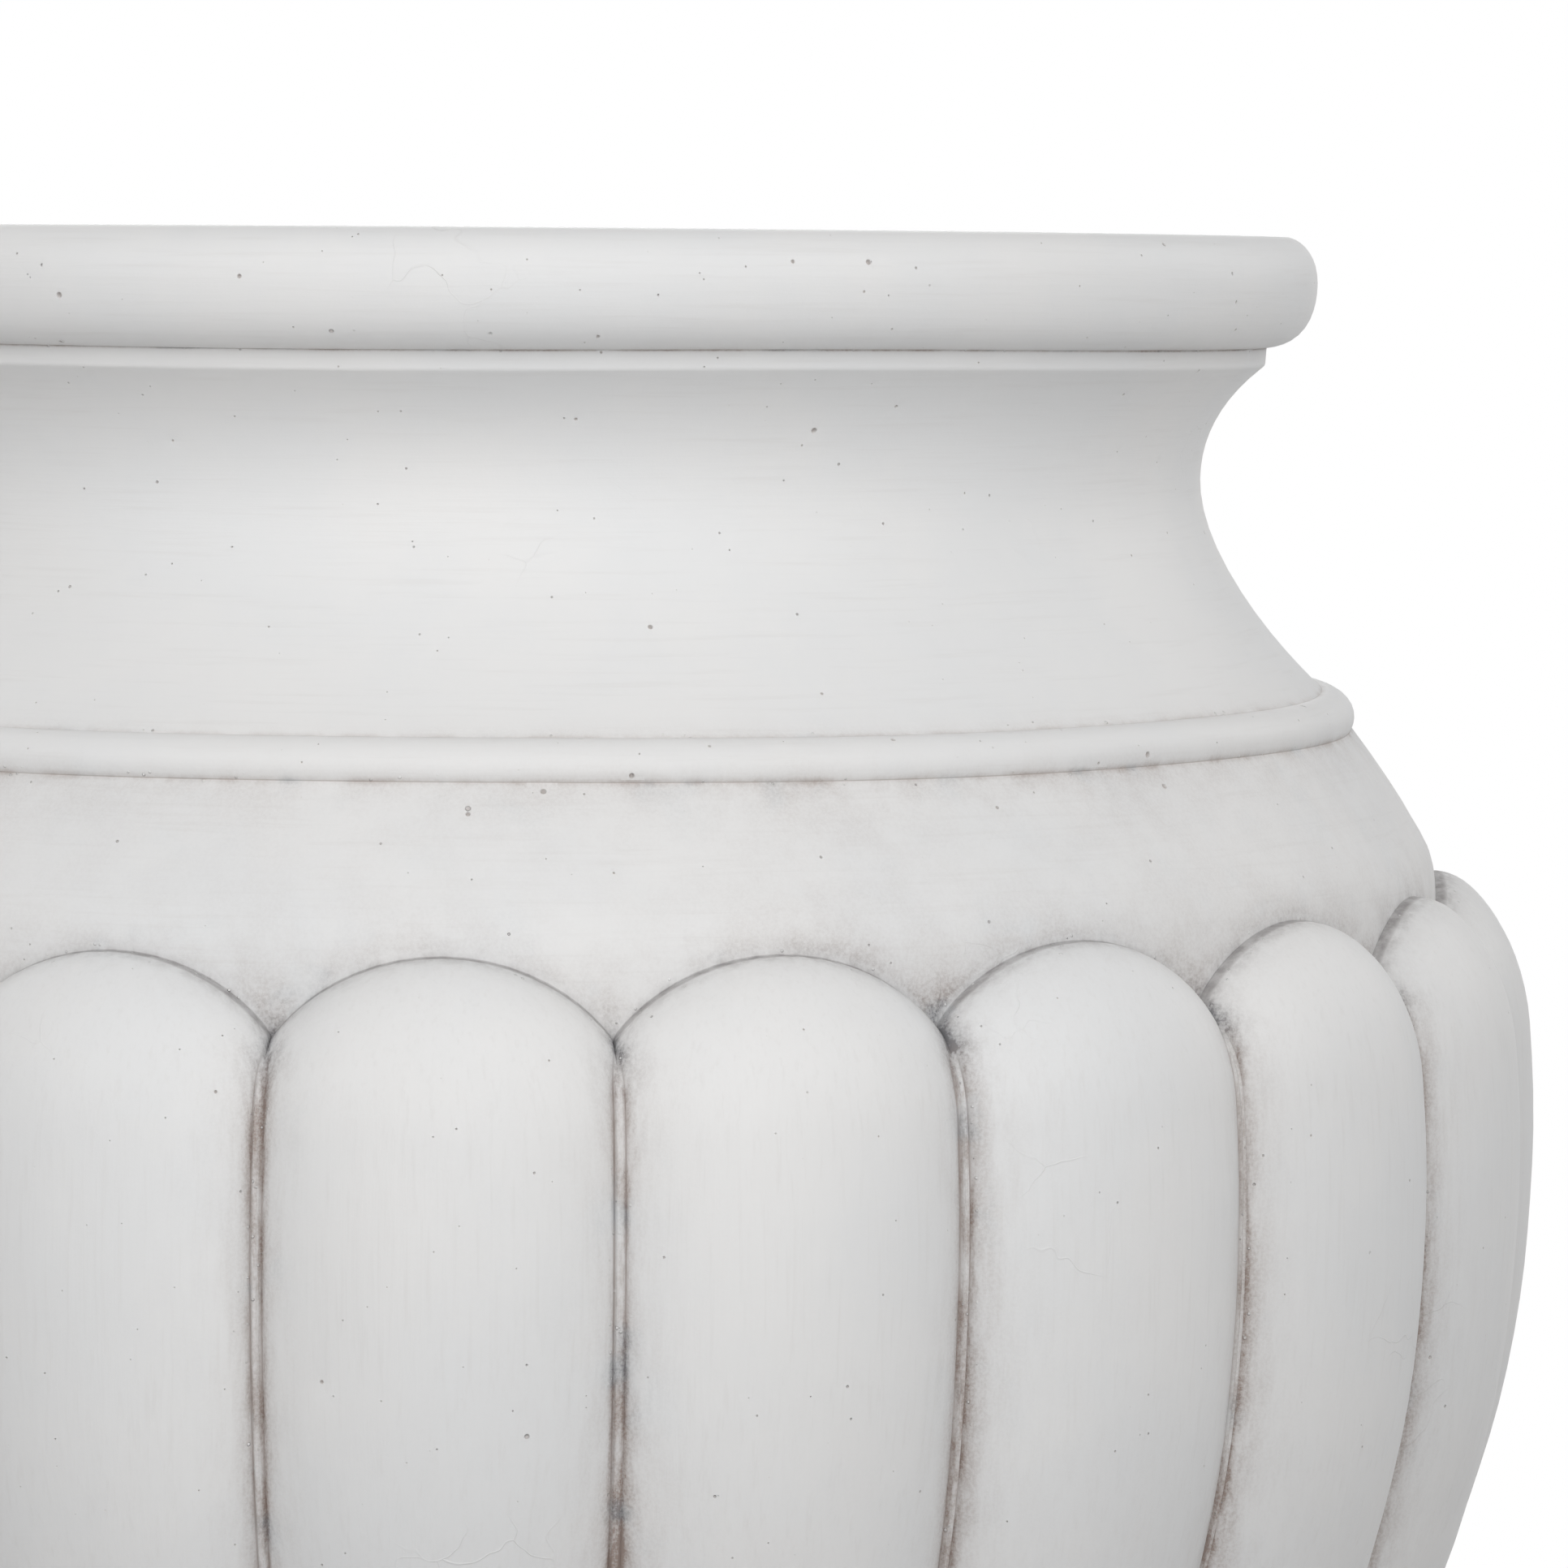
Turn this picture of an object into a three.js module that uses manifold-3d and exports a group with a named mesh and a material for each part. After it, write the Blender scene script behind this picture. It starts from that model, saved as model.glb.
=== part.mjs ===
// Lobed urn planter: a cast-stone bowl bolted to a separately cast round foot.
// Millimetres, +Z up. The origin is on the floor, on the urn's axis.

import * as THREE from 'three';
import { mergeVertices } from 'three/addons/utils/BufferGeometryUtils.js';
import Module from 'manifold-3d';

const wasm = await Module();
wasm.setup();

// ---------------------------------------------------------------- driving dimensions

const OVERALL_HEIGHT = 610;
const GAP = 0.3;                        // left between pieces that touch

// Bowl: radii and heights of its outer outline, from the rim down.
const RIM_INNER_RADIUS = 190;
const RIM_TOP_FALL = 1.2;               // the rim's top slopes outward by this much
const RIM_CORNER_RADIUS = 232;
const RIM_RADIUS = 240.2;
const RIM_WIDEST_DROP = 13.5;
const RIM_CREASE = { radius: 225.7, drop: 32.2 };
const FILLET_HEIGHT = 5.2;              // the plain band under the rim
const NECK = { radius: 206.8, drop: 70.9 };
const BEAD_TOP = { radius: 243, drop: 132.7 };
const BEAD_BOTTOM = { radius: 251.6, drop: 143.7 };
const LIP_ROUNDING = 7;                 // the rim's inner edge
const FILLET_TAPER = 0.4;

// Bowl: two control points for each curve of that outline.
const RIM_CORNER_PULLS = [{ radius: 236.5, drop: 1.6 }, { radius: RIM_RADIUS, drop: 6.5 }];
const RIM_UNDER_PULLS = [{ radius: RIM_RADIUS, drop: 24 }, { radius: 235.7, drop: 31.5 }];
const THROAT_PULLS = [{ radius: 212, drop: 48 }, { radius: NECK.radius, drop: 59 }];
const FLARE_PULLS = [{ radius: NECK.radius, drop: 93 }, { radius: 228, drop: 118.5 }];
const BEAD_PULLS = [{ radius: 249, drop: 131.6 }, { radius: 254.8, drop: 138 }];

// Bowl: radius and height of places on the body under the lobes, and of the hollow's wall.
const BODY_PLACES = [
  [260, 455], [269.2, 441.2], [276, 427.3], [277.5, 403], [281, 350],
  [277.6, 297], [268.5, 254], [255.8, 218], [225, 160], [178, 112],
];
const HOLLOW_PLACES = [
  [158, 118], [203, 160], [236, 220], [259, 290], [266, 350], [263, 400],
  [252, 432], [230, 466], [203, 497], [190, 522], [186.8, 548],
];

// Bowl: lobes.
const LOBES = 20;
const LOBE_SPREAD = 1.17;               // half width of a whole lobe over half the pitch
const LOBE_HEIGHT_TO_WIDTH = 0.53;      // rise of a lobe over its half width
const LOBE_TOP_START = 50;              // along the body, from the bead to the arch's top
const LOBE_TOP_LENGTH = 46;             // length of the rounded upper end
const LOBE_FOOT_LENGTH = 24;            // length of the rounded lower end
const LOBE_FOOT_END = 16;               // plain band left below the lobes
const GROOVE_STRIP = 0.033;             // half the flat strip between lobes, over half the pitch

// Bowl: bottom.
const SEAT_HEIGHT = 70;                 // the face that stands on the foot
const COLLAR_RADIUS = 128;
const COLLAR_HEIGHT = 8;
const COLLAR_CHAMFER = 2;
const SPIGOT_RADIUS = 62;
const SPIGOT_LENGTH = 6;
const SPIGOT_DRAFT = 1;
const FLOOR_HEIGHT = 98;
const FLOOR_RADIUS = 96;
const RECESS_RADIUS = 34;
const RECESS_DEPTH = 8;

// Foot.
const PLINTH_RADIUS = 158;
const PLINTH_HEIGHT = 12;
const TORUS_RADIUS = 150;
const TORUS_HEIGHT = 17;
const SCOTIA = { radius: 92, height: 44 };
const SCOTIA_UPPER_PULLS = [{ radius: 96, height: 58.4 }, { radius: SCOTIA.radius, height: 50 }];
const SCOTIA_LOWER_PULLS = [{ radius: SCOTIA.radius, height: 36 }, { radius: 106, height: 30 }];
const SCOTIA_TOP_STEP = 7;              // from the top band in to the scotia
const SCOTIA_FOOT_STEP = 6;             // from the torus in to the scotia
const FOOT_TOP_RADIUS = 116;
const FOOT_TOP_BAND = 8;
const FOOT_TOP_CHAMFER = 1;
const PLINTH_CHAMFER = 1.5;
const FOOT_CEILING = 40;
const FOOT_CEILING_RADIUS = 58;
const FOOT_HOLLOW_RADIUS = 130;
const FOOT_HOLLOW_PULLS = [{ radius: 126, height: 16 }, { radius: 76, height: 20 }];
const SPIGOT_CLEARANCE = 1.5;           // round the spigot
const SPIGOT_HEADROOM = 3;              // under the spigot
const NOTCHES = 4;
const NOTCH_WIDTH = 24;
const NOTCH_HEIGHT = 8;
const NOTCH_SIDE = 2;                   // height of the notch's straight sides
const NOTCH_BAR_LENGTH = 60;
const CUT_PAST = 1;                     // how far a cut runs past what it cuts
const NOTCH_BAR_PAST = 10;

// Drain fitting, its stack and the plug.
const TUBE_RADIUS = 15;
const BORE_RADIUS = 10.5;
const TUBE_HOLE_RADIUS = 16;
const TUBE_END_HEIGHT = 12;
const TUBE_CHAMFER = 1;
const FLANGE_RADIUS = 30;
const FLANGE_THICKNESS = 4;
const FLANGE_FLAT_RADIUS = 16;          // the flat that the plug's head lies on
const FLANGE_EDGE_FALL = 2.5;           // from that flat down to the flange's edge
const FLANGE_BEVEL = { inset: 2, fall: 1 };
const GASKET_THICKNESS = 2;
const SEAT_GASKET_RADIUS = 112;
const SEAT_GASKET_CLEARANCE = 4;        // round the spigot
const GASKET_CLEARANCE = 1;             // round the tube, and inside the flange's edge
const WASHER_CLEARANCE = 0.5;           // round the tube
const WASHER_RADIUS = 32;
const WASHER_THICKNESS = 3;
const NUT_ACROSS_FLATS = 46;
const NUT_HEIGHT = 15;
const PLUG_HEAD = { radius: 14, edge: 2.5, height: 4, bevel: 1.5 };
const PLUG_LENGTH = 17;
const PLUG_TAPER = 0.8;
const PLUG_TIP_CHAMFER = 1;
const KNOB_WAIST = { radius: 4, bottom: 6, top: 9 };
const KNOB = { radius: 7.5, widest: 12, crownRadius: 6, crownEdge: 14, top: 14.6 };

// Facets round the axis.
const PLAIN_SIDES = 60;
const INSIDE_SIDES = 40;
const FOOT_SIDES = 48;
const HARDWARE_SIDES = 24;
const HOLLOW_STEPS = 13;                // up the hollow's wall

// ---------------------------------------------------------------- materials

function material(color, roughness, metalness) {
  return new THREE.MeshStandardMaterial({ color, roughness, metalness });
}

const castStone = () => material(0xdcdad6, 0.72, 0);
const rubber = () => material(0x2b2a29, 0.85, 0);
const brass = () => material(0xb08d4a, 0.4, 1);
const steel = () => material(0xa9abad, 0.42, 1);

// ---------------------------------------------------------------- outline helpers

const at = (radius, height) => new THREE.Vector2(radius, height);
const below = (radius, drop) => at(radius, OVERALL_HEIGHT - drop);

// A place given as a radius with either a height or a drop from the rim's top.
const place = ({ radius, height, drop }) => at(radius, height ?? OVERALL_HEIGHT - drop);

// A curve between two places with two control points, or pulls, between them.
function pulledCurve(from, [first, second], to) {
  return new THREE.CubicBezierCurve(from, place(first), place(second), to);
}

// Points of that curve, without its first one, which the stretch before it ends on.
function bend(from, pulls, to, steps) {
  return pulledCurve(from, pulls, to).getPoints(steps).slice(1);
}

// ---------------------------------------------------------------- ring meshes

// A ring is a closed loop of points round the axis, in order of angle.
function plainRing(point, sides) {
  const ring = [];
  for (let side = 0; side < sides; side++) {
    const angle = (2 * Math.PI * side) / sides;
    ring.push({ angle, radius: point.x, height: point.y });
  }
  return ring;
}

// Joins a cyclic list of rings into one closed body. Neighbouring rings may differ in count:
// the strip between them always steps to whichever ring's next point comes first.
function bodyFromRings(rings) {
  const positions = [];
  const starts = [];
  for (const ring of rings) {
    starts.push(positions.length / 3);
    for (const { angle, radius, height } of ring) {
      positions.push(radius * Math.cos(angle), radius * Math.sin(angle), height);
    }
  }
  const triangles = [];
  rings.forEach((upper, index) => {
    const next = (index + 1) % rings.length;
    stitch(triangles, upper, starts[index], rings[next], starts[next]);
  });
  const geometry = new THREE.BufferGeometry();
  geometry.setAttribute('position', new THREE.Float32BufferAttribute(positions, 3));
  geometry.setIndex(triangles);
  return geometry;
}

function stitch(triangles, upper, upperStart, lower, lowerStart) {
  const angleAt = (ring, step) => {
    const turns = Math.floor(step / ring.length);
    return ring[step % ring.length].angle + 2 * Math.PI * turns;
  };
  let u = 0;
  let l = 0;
  while (u < upper.length || l < lower.length) {
    const upperNow = upperStart + (u % upper.length);
    const lowerNow = lowerStart + (l % lower.length);
    const upperStep = u < upper.length;
    const lowerStep = l < lower.length;
    const stepUpper = !lowerStep || (upperStep && angleAt(upper, u + 1) <= angleAt(lower, l + 1));
    if (stepUpper) {
      triangles.push(upperNow, lowerNow, upperStart + ((u + 1) % upper.length));
      u += 1;
    } else {
      triangles.push(upperNow, lowerNow, lowerStart + ((l + 1) % lower.length));
      l += 1;
    }
  }
}

// ---------------------------------------------------------------- bowl: outer outline

// From the rim's inner edge, over the roll, down the cove neck and round the bead.
function neckOutline() {
  const lip = below(RIM_INNER_RADIUS + LIP_ROUNDING, 0);
  const corner = below(RIM_CORNER_RADIUS, RIM_TOP_FALL);
  const widest = below(RIM_RADIUS, RIM_WIDEST_DROP);
  const crease = place(RIM_CREASE);
  const fillet = below(RIM_CREASE.radius - FILLET_TAPER, RIM_CREASE.drop + FILLET_HEIGHT);
  const neck = place(NECK);
  const beadTop = place(BEAD_TOP);
  return [
    lip,
    corner,
    ...bend(corner, RIM_CORNER_PULLS, widest, 3),
    ...bend(widest, RIM_UNDER_PULLS, crease, 4),
    fillet,
    ...bend(fillet, THROAT_PULLS, neck, 4),
    ...bend(neck, FLARE_PULLS, beadTop, 5),
    ...bend(beadTop, BEAD_PULLS, place(BEAD_BOTTOM), 4),
  ];
}

// The body under the lobes, from the bead to the collar at the bowl's foot.
const bodyCurve = new THREE.SplineCurve([
  place(BEAD_BOTTOM),
  ...BODY_PLACES.map(([radius, height]) => at(radius, height)),
  at(COLLAR_RADIUS, SEAT_HEIGHT + COLLAR_HEIGHT),
]);
bodyCurve.arcLengthDivisions = 400;
const BODY_LENGTH = bodyCurve.getLength();
const UPPER_CENTRE = LOBE_TOP_START + LOBE_TOP_LENGTH;
const LOWER_CENTRE = BODY_LENGTH - LOBE_FOOT_END - LOBE_FOOT_LENGTH;

// ---------------------------------------------------------------- bowl: lobes

// Each lobe is half an ellipse across, and closes as half an ellipsoid at both ends. It is
// wider than the pitch, so neighbours meet above the body in a groove, and their rounded
// upper ends meet in a notch. across runs from -1 to 1, groove to groove.
function lobeRise(radius, across, endFraction) {
  const halfWidth = (LOBE_SPREAD * Math.PI * radius) / LOBES;
  const section = Math.sqrt(1 - (across / LOBE_SPREAD) ** 2);
  return LOBE_HEIGHT_TO_WIDTH * halfWidth * section * endFraction;
}

// How far a lobe's rounded end reaches beyond its centre, at one place across it.
function endReach(length, across) {
  return length * Math.sqrt(1 - (across / LOBE_SPREAD) ** 2);
}

// Places across one lobe. The last one and the next lobe's first one bound the groove's strip.
const STRIP_EDGE = 1 - GROOVE_STRIP;
const ACROSS = [-STRIP_EDGE, -0.8, -0.44, 0, 0.44, 0.8, STRIP_EDGE];

// One ring of the lobed wall. shape(across) gives the distance along the body and how much
// of the lobe's rise stands there.
function lobedRing(shape) {
  const ring = [];
  for (let lobe = 0; lobe < LOBES; lobe++) {
    for (const across of ACROSS) {
      const { distance, endFraction } = shape(across);
      const portion = Math.min(distance / BODY_LENGTH, 1);
      const body = bodyCurve.getPointAt(portion);
      const tangent = bodyCurve.getTangentAt(portion);
      const rise = lobeRise(body.x, across, endFraction);
      ring.push({
        angle: ((lobe + 0.5 * (1 + across)) * 2 * Math.PI) / LOBES,
        radius: body.x - tangent.y * rise,
        height: body.y + tangent.x * rise,
      });
    }
  }
  return ring;
}

const SHOULDER_STEPS = 3;
const UPPER_END_ANGLES = [0, 18, 40, 65];
const BELLY_STEPS = 8;
const LOWER_END_ANGLES = [62, 32, 0];

function lobedRings() {
  const rings = [];
  for (let step = 0; step < SHOULDER_STEPS; step++) {
    rings.push(lobedRing((across) => {
      const arch = UPPER_CENTRE - endReach(LOBE_TOP_LENGTH, across);
      return { distance: (arch * step) / SHOULDER_STEPS, endFraction: 0 };
    }));
  }
  for (const degrees of UPPER_END_ANGLES) {
    const angle = THREE.MathUtils.degToRad(degrees);
    rings.push(lobedRing((across) => ({
      distance: UPPER_CENTRE - endReach(LOBE_TOP_LENGTH, across) * Math.cos(angle),
      endFraction: Math.sin(angle),
    })));
  }
  for (let step = 0; step <= BELLY_STEPS; step++) {
    const distance = UPPER_CENTRE + ((LOWER_CENTRE - UPPER_CENTRE) * step) / BELLY_STEPS;
    rings.push(lobedRing(() => ({ distance, endFraction: 1 })));
  }
  for (const degrees of LOWER_END_ANGLES) {
    const angle = THREE.MathUtils.degToRad(degrees);
    rings.push(lobedRing((across) => ({
      distance: LOWER_CENTRE + endReach(LOBE_FOOT_LENGTH, across) * Math.cos(angle),
      endFraction: Math.sin(angle),
    })));
  }
  return rings;
}

// ---------------------------------------------------------------- bowl: bottom and inside

// Collar, seat, spigot and the hole for the drain fitting, up to the recess in the floor.
function undersideOutline() {
  const recessFloor = FLOOR_HEIGHT - RECESS_DEPTH;
  return [
    at(COLLAR_RADIUS, SEAT_HEIGHT + COLLAR_HEIGHT),
    at(COLLAR_RADIUS, SEAT_HEIGHT + COLLAR_CHAMFER),
    at(COLLAR_RADIUS - COLLAR_CHAMFER, SEAT_HEIGHT),
    at(SPIGOT_RADIUS, SEAT_HEIGHT),
    at(SPIGOT_RADIUS - SPIGOT_DRAFT, SEAT_HEIGHT - SPIGOT_LENGTH),
    at(TUBE_HOLE_RADIUS, SEAT_HEIGHT - SPIGOT_LENGTH),
    at(TUBE_HOLE_RADIUS, recessFloor),
    at(RECESS_RADIUS, recessFloor),
    at(RECESS_RADIUS, FLOOR_HEIGHT),
  ];
}

// The floor, the hollow belly, the neck and the rounded inner edge of the rim.
function insideOutline() {
  const wall = new THREE.SplineCurve([
    at(FLOOR_RADIUS, FLOOR_HEIGHT),
    ...HOLLOW_PLACES.map(([radius, height]) => at(radius, height)),
  ]);
  const throatTop = below(RIM_INNER_RADIUS, LIP_ROUNDING);
  const lip = below(RIM_INNER_RADIUS + LIP_ROUNDING, 0);
  const edge = new THREE.QuadraticBezierCurve(throatTop, below(RIM_INNER_RADIUS, 0), lip);
  return [...wall.getPoints(HOLLOW_STEPS), throatTop, edge.getPoint(0.5)];
}

function bowlGeometry() {
  const outside = neckOutline().slice(0, -1).map((point) => plainRing(point, PLAIN_SIDES));
  const underside = undersideOutline().map((point) => plainRing(point, INSIDE_SIDES));
  const inside = insideOutline().map((point) => plainRing(point, INSIDE_SIDES));
  return bodyFromRings([...outside, ...lobedRings(), ...underside, ...inside]);
}

// ---------------------------------------------------------------- foot

function footOutline() {
  const top = SEAT_HEIGHT - GASKET_THICKNESS - 2 * GAP;
  const recess = SEAT_HEIGHT - SPIGOT_LENGTH - SPIGOT_HEADROOM;
  const recessRadius = SPIGOT_RADIUS + SPIGOT_CLEARANCE;
  const bandFoot = top - FOOT_TOP_BAND;
  const scotiaTop = at(FOOT_TOP_RADIUS - SCOTIA_TOP_STEP, bandFoot);
  const waist = place(SCOTIA);
  const torusHalf = TORUS_HEIGHT / 2;
  const torusTop = at(TORUS_RADIUS - torusHalf, PLINTH_HEIGHT + TORUS_HEIGHT);
  const scotiaFoot = at(torusTop.x - SCOTIA_FOOT_STEP, torusTop.y);
  const torus = new THREE.EllipseCurve(
    torusTop.x, PLINTH_HEIGHT + torusHalf, torusHalf, torusHalf, Math.PI / 2, -Math.PI / 2, true,
  );
  const hollow = pulledCurve(
    at(FOOT_HOLLOW_RADIUS, 0), FOOT_HOLLOW_PULLS, at(FOOT_CEILING_RADIUS, FOOT_CEILING),
  );
  return [
    at(recessRadius, top),
    at(FOOT_TOP_RADIUS - FOOT_TOP_CHAMFER, top),
    at(FOOT_TOP_RADIUS, top - FOOT_TOP_CHAMFER),
    at(FOOT_TOP_RADIUS, bandFoot),
    scotiaTop,
    ...bend(scotiaTop, SCOTIA_UPPER_PULLS, waist, 3),
    ...bend(waist, SCOTIA_LOWER_PULLS, scotiaFoot, 4),
    ...torus.getPoints(5),
    at(PLINTH_RADIUS - PLINTH_CHAMFER, PLINTH_HEIGHT),
    at(PLINTH_RADIUS, PLINTH_HEIGHT - PLINTH_CHAMFER),
    at(PLINTH_RADIUS, 0),
    ...hollow.getPoints(4),
    at(TUBE_HOLE_RADIUS, FOOT_CEILING),
    at(TUBE_HOLE_RADIUS, recess),
    at(recessRadius, recess),
    at(recessRadius, top),
  ].reverse();
}

// Lets the drained water out from under the foot: a round-topped bar to cut away.
function notchBar() {
  const half = NOTCH_WIDTH / 2;
  const arch = new THREE.Shape();
  arch.moveTo(-half, -CUT_PAST);
  arch.lineTo(half, -CUT_PAST);
  arch.lineTo(half, NOTCH_SIDE);
  arch.bezierCurveTo(half, NOTCH_HEIGHT, half / 2, NOTCH_HEIGHT, 0, NOTCH_HEIGHT);
  arch.bezierCurveTo(-half / 2, NOTCH_HEIGHT, -half, NOTCH_HEIGHT, -half, NOTCH_SIDE);
  const bar = new THREE.ExtrudeGeometry(arch, {
    depth: NOTCH_BAR_LENGTH, bevelEnabled: false, curveSegments: 3,
  });
  bar.rotateX(Math.PI / 2);
  bar.translate(0, PLINTH_RADIUS + NOTCH_BAR_PAST, 0);
  return bar;
}

function footGeometry() {
  const notches = [];
  for (let index = 0; index < NOTCHES; index++) {
    notches.push(notchBar().rotateZ((2 * Math.PI * index) / NOTCHES));
  }
  return cut(turned(footOutline(), FOOT_SIDES), notches);
}

// ---------------------------------------------------------------- turned and cut solids

// A solid of revolution about +Z. The outline closes on itself or starts and ends on the axis.
function turned(outline, sides) {
  const geometry = new THREE.LatheGeometry(outline, sides);
  geometry.rotateX(Math.PI / 2);
  return geometry;
}

function welded(geometry) {
  const bare = new THREE.BufferGeometry();
  const source = geometry.index ? geometry.toNonIndexed() : geometry;
  bare.setAttribute('position', source.getAttribute('position').clone());
  return mergeVertices(bare, 1e-4);
}

function solid(geometry) {
  const closed = welded(geometry);
  const faces = [];
  const index = closed.index.array;
  for (let corner = 0; corner < index.length; corner += 3) {
    const [a, b, c] = [index[corner], index[corner + 1], index[corner + 2]];
    if (a !== b && b !== c && c !== a) faces.push(a, b, c);
  }
  return new wasm.Manifold(new wasm.Mesh({
    numProp: 3,
    vertProperties: new Float32Array(closed.getAttribute('position').array),
    triVerts: new Uint32Array(faces),
  }));
}

function cut(body, tools) {
  let result = solid(body);
  if (result.volume() < 0) throw new Error('outline runs the wrong way round');
  for (const tool of tools) result = result.subtract(solid(tool));
  const mesh = result.getMesh();
  const geometry = new THREE.BufferGeometry();
  geometry.setAttribute('position', new THREE.Float32BufferAttribute(mesh.vertProperties, 3));
  geometry.setIndex([...mesh.triVerts]);
  return geometry;
}

// ---------------------------------------------------------------- rings, nut, fitting, plug

function flatRing(innerRadius, outerRadius, bottom, thickness, sides) {
  const top = bottom + thickness;
  return turned([
    at(innerRadius, bottom),
    at(innerRadius, top),
    at(outerRadius, top),
    at(outerRadius, bottom),
    at(innerRadius, bottom),
  ].reverse(), sides);
}

// Heights of the clamped stack, from the recess in the bowl's floor down.
const FITTING_GASKET_BOTTOM = FLOOR_HEIGHT - RECESS_DEPTH + GAP;
const FLANGE_BOTTOM = FITTING_GASKET_BOTTOM + GASKET_THICKNESS + GAP;
const FLANGE_TOP = FLANGE_BOTTOM + FLANGE_THICKNESS;
const SEAT_GASKET_BOTTOM = SEAT_HEIGHT - GAP - GASKET_THICKNESS;
const LOWER_GASKET_BOTTOM = FOOT_CEILING - GAP - GASKET_THICKNESS;
const WASHER_BOTTOM = LOWER_GASKET_BOTTOM - GAP - WASHER_THICKNESS;
const NUT_BOTTOM = WASHER_BOTTOM - GAP - NUT_HEIGHT;

// Hollow bolt: a dished flange on a tube whose bore is the drain.
function fittingGeometry() {
  return turned([
    at(BORE_RADIUS, TUBE_END_HEIGHT),
    at(TUBE_RADIUS - TUBE_CHAMFER, TUBE_END_HEIGHT),
    at(TUBE_RADIUS, TUBE_END_HEIGHT + TUBE_CHAMFER),
    at(TUBE_RADIUS, FLANGE_BOTTOM),
    at(FLANGE_RADIUS, FLANGE_BOTTOM),
    at(FLANGE_RADIUS, FLANGE_TOP - FLANGE_EDGE_FALL),
    at(FLANGE_RADIUS - FLANGE_BEVEL.inset, FLANGE_TOP - FLANGE_BEVEL.fall),
    at(FLANGE_FLAT_RADIUS, FLANGE_TOP),
    at(BORE_RADIUS, FLANGE_TOP),
    at(BORE_RADIUS, TUBE_END_HEIGHT),
  ], HARDWARE_SIDES);
}

function nutGeometry() {
  const hexagon = new THREE.Shape();
  const cornerRadius = NUT_ACROSS_FLATS / Math.sqrt(3);
  for (let corner = 0; corner < 6; corner++) {
    const angle = (Math.PI * corner) / 3;
    const x = cornerRadius * Math.cos(angle);
    const y = cornerRadius * Math.sin(angle);
    if (corner === 0) hexagon.moveTo(x, y);
    else hexagon.lineTo(x, y);
  }
  const hole = new THREE.Path();
  hole.absarc(0, 0, TUBE_RADIUS + GAP, 0, 2 * Math.PI, true);
  hexagon.holes.push(hole);
  const nut = new THREE.ExtrudeGeometry(hexagon, {
    depth: NUT_HEIGHT, bevelEnabled: false, curveSegments: HARDWARE_SIDES / 2,
  });
  return nut.translate(0, 0, NUT_BOTTOM);
}

// Tapered rubber plug with a flat head and a waisted knob to pull it by.
function plugGeometry() {
  const seat = FLANGE_TOP + GAP;
  const bodyRadius = BORE_RADIUS - GAP;
  const tipRadius = bodyRadius - PLUG_TAPER;
  const tip = seat - PLUG_LENGTH;
  const knob = new THREE.CubicBezierCurve(
    at(KNOB_WAIST.radius, seat + KNOB_WAIST.bottom), at(KNOB_WAIST.radius, seat + KNOB_WAIST.top),
    at(KNOB.radius, seat + KNOB_WAIST.top), at(KNOB.radius, seat + KNOB.widest),
  );
  return turned([
    at(0, tip),
    at(tipRadius - PLUG_TIP_CHAMFER, tip),
    at(tipRadius, tip + PLUG_TIP_CHAMFER),
    at(bodyRadius, seat),
    at(PLUG_HEAD.radius, seat),
    at(PLUG_HEAD.radius, seat + PLUG_HEAD.edge),
    at(PLUG_HEAD.radius - PLUG_HEAD.bevel, seat + PLUG_HEAD.height),
    ...knob.getPoints(4),
    at(KNOB.crownRadius, seat + KNOB.crownEdge),
    at(0, seat + KNOB.top),
  ], HARDWARE_SIDES);
}

// ---------------------------------------------------------------- the urn

function piece(name, geometry, finish) {
  const mesh = new THREE.Mesh(geometry, finish);
  mesh.name = name;
  return mesh;
}

const bowl = new THREE.Group();
bowl.add(piece('urn_bowl', bowlGeometry(), castStone()));

const foot = new THREE.Group();
foot.add(piece('socle_foot', footGeometry(), castStone()));
foot.add(piece('seat_gasket', flatRing(
  SPIGOT_RADIUS + SEAT_GASKET_CLEARANCE, SEAT_GASKET_RADIUS,
  SEAT_GASKET_BOTTOM, GASKET_THICKNESS, FOOT_SIDES,
), rubber()));

const drain = new THREE.Group();
drain.add(piece('drain_fitting', fittingGeometry(), brass()));
drain.add(piece('fitting_gasket', flatRing(
  TUBE_RADIUS + GASKET_CLEARANCE, FLANGE_RADIUS - GASKET_CLEARANCE,
  FITTING_GASKET_BOTTOM, GASKET_THICKNESS, HARDWARE_SIDES,
), rubber()));
drain.add(piece('lower_gasket', flatRing(
  TUBE_RADIUS + GASKET_CLEARANCE, WASHER_RADIUS,
  LOWER_GASKET_BOTTOM, GASKET_THICKNESS, HARDWARE_SIDES,
), rubber()));
drain.add(piece('lower_washer', flatRing(
  TUBE_RADIUS + WASHER_CLEARANCE, WASHER_RADIUS,
  WASHER_BOTTOM, WASHER_THICKNESS, HARDWARE_SIDES,
), steel()));
drain.add(piece('lower_nut', nutGeometry(), steel()));
drain.add(piece('drain_plug', plugGeometry(), rubber()));

const urnPlanter = new THREE.Group();
urnPlanter.add(bowl, foot, drain);

export default urnPlanter;
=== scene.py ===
"""Lobed urn planter in painted cast stone: fine surface, finishes, light and camera.

Metres, +Z up. The origin is on the floor, on the urn's axis.
"""

import math

import bpy
import numpy as np
from mathutils import Matrix, Vector


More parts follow.
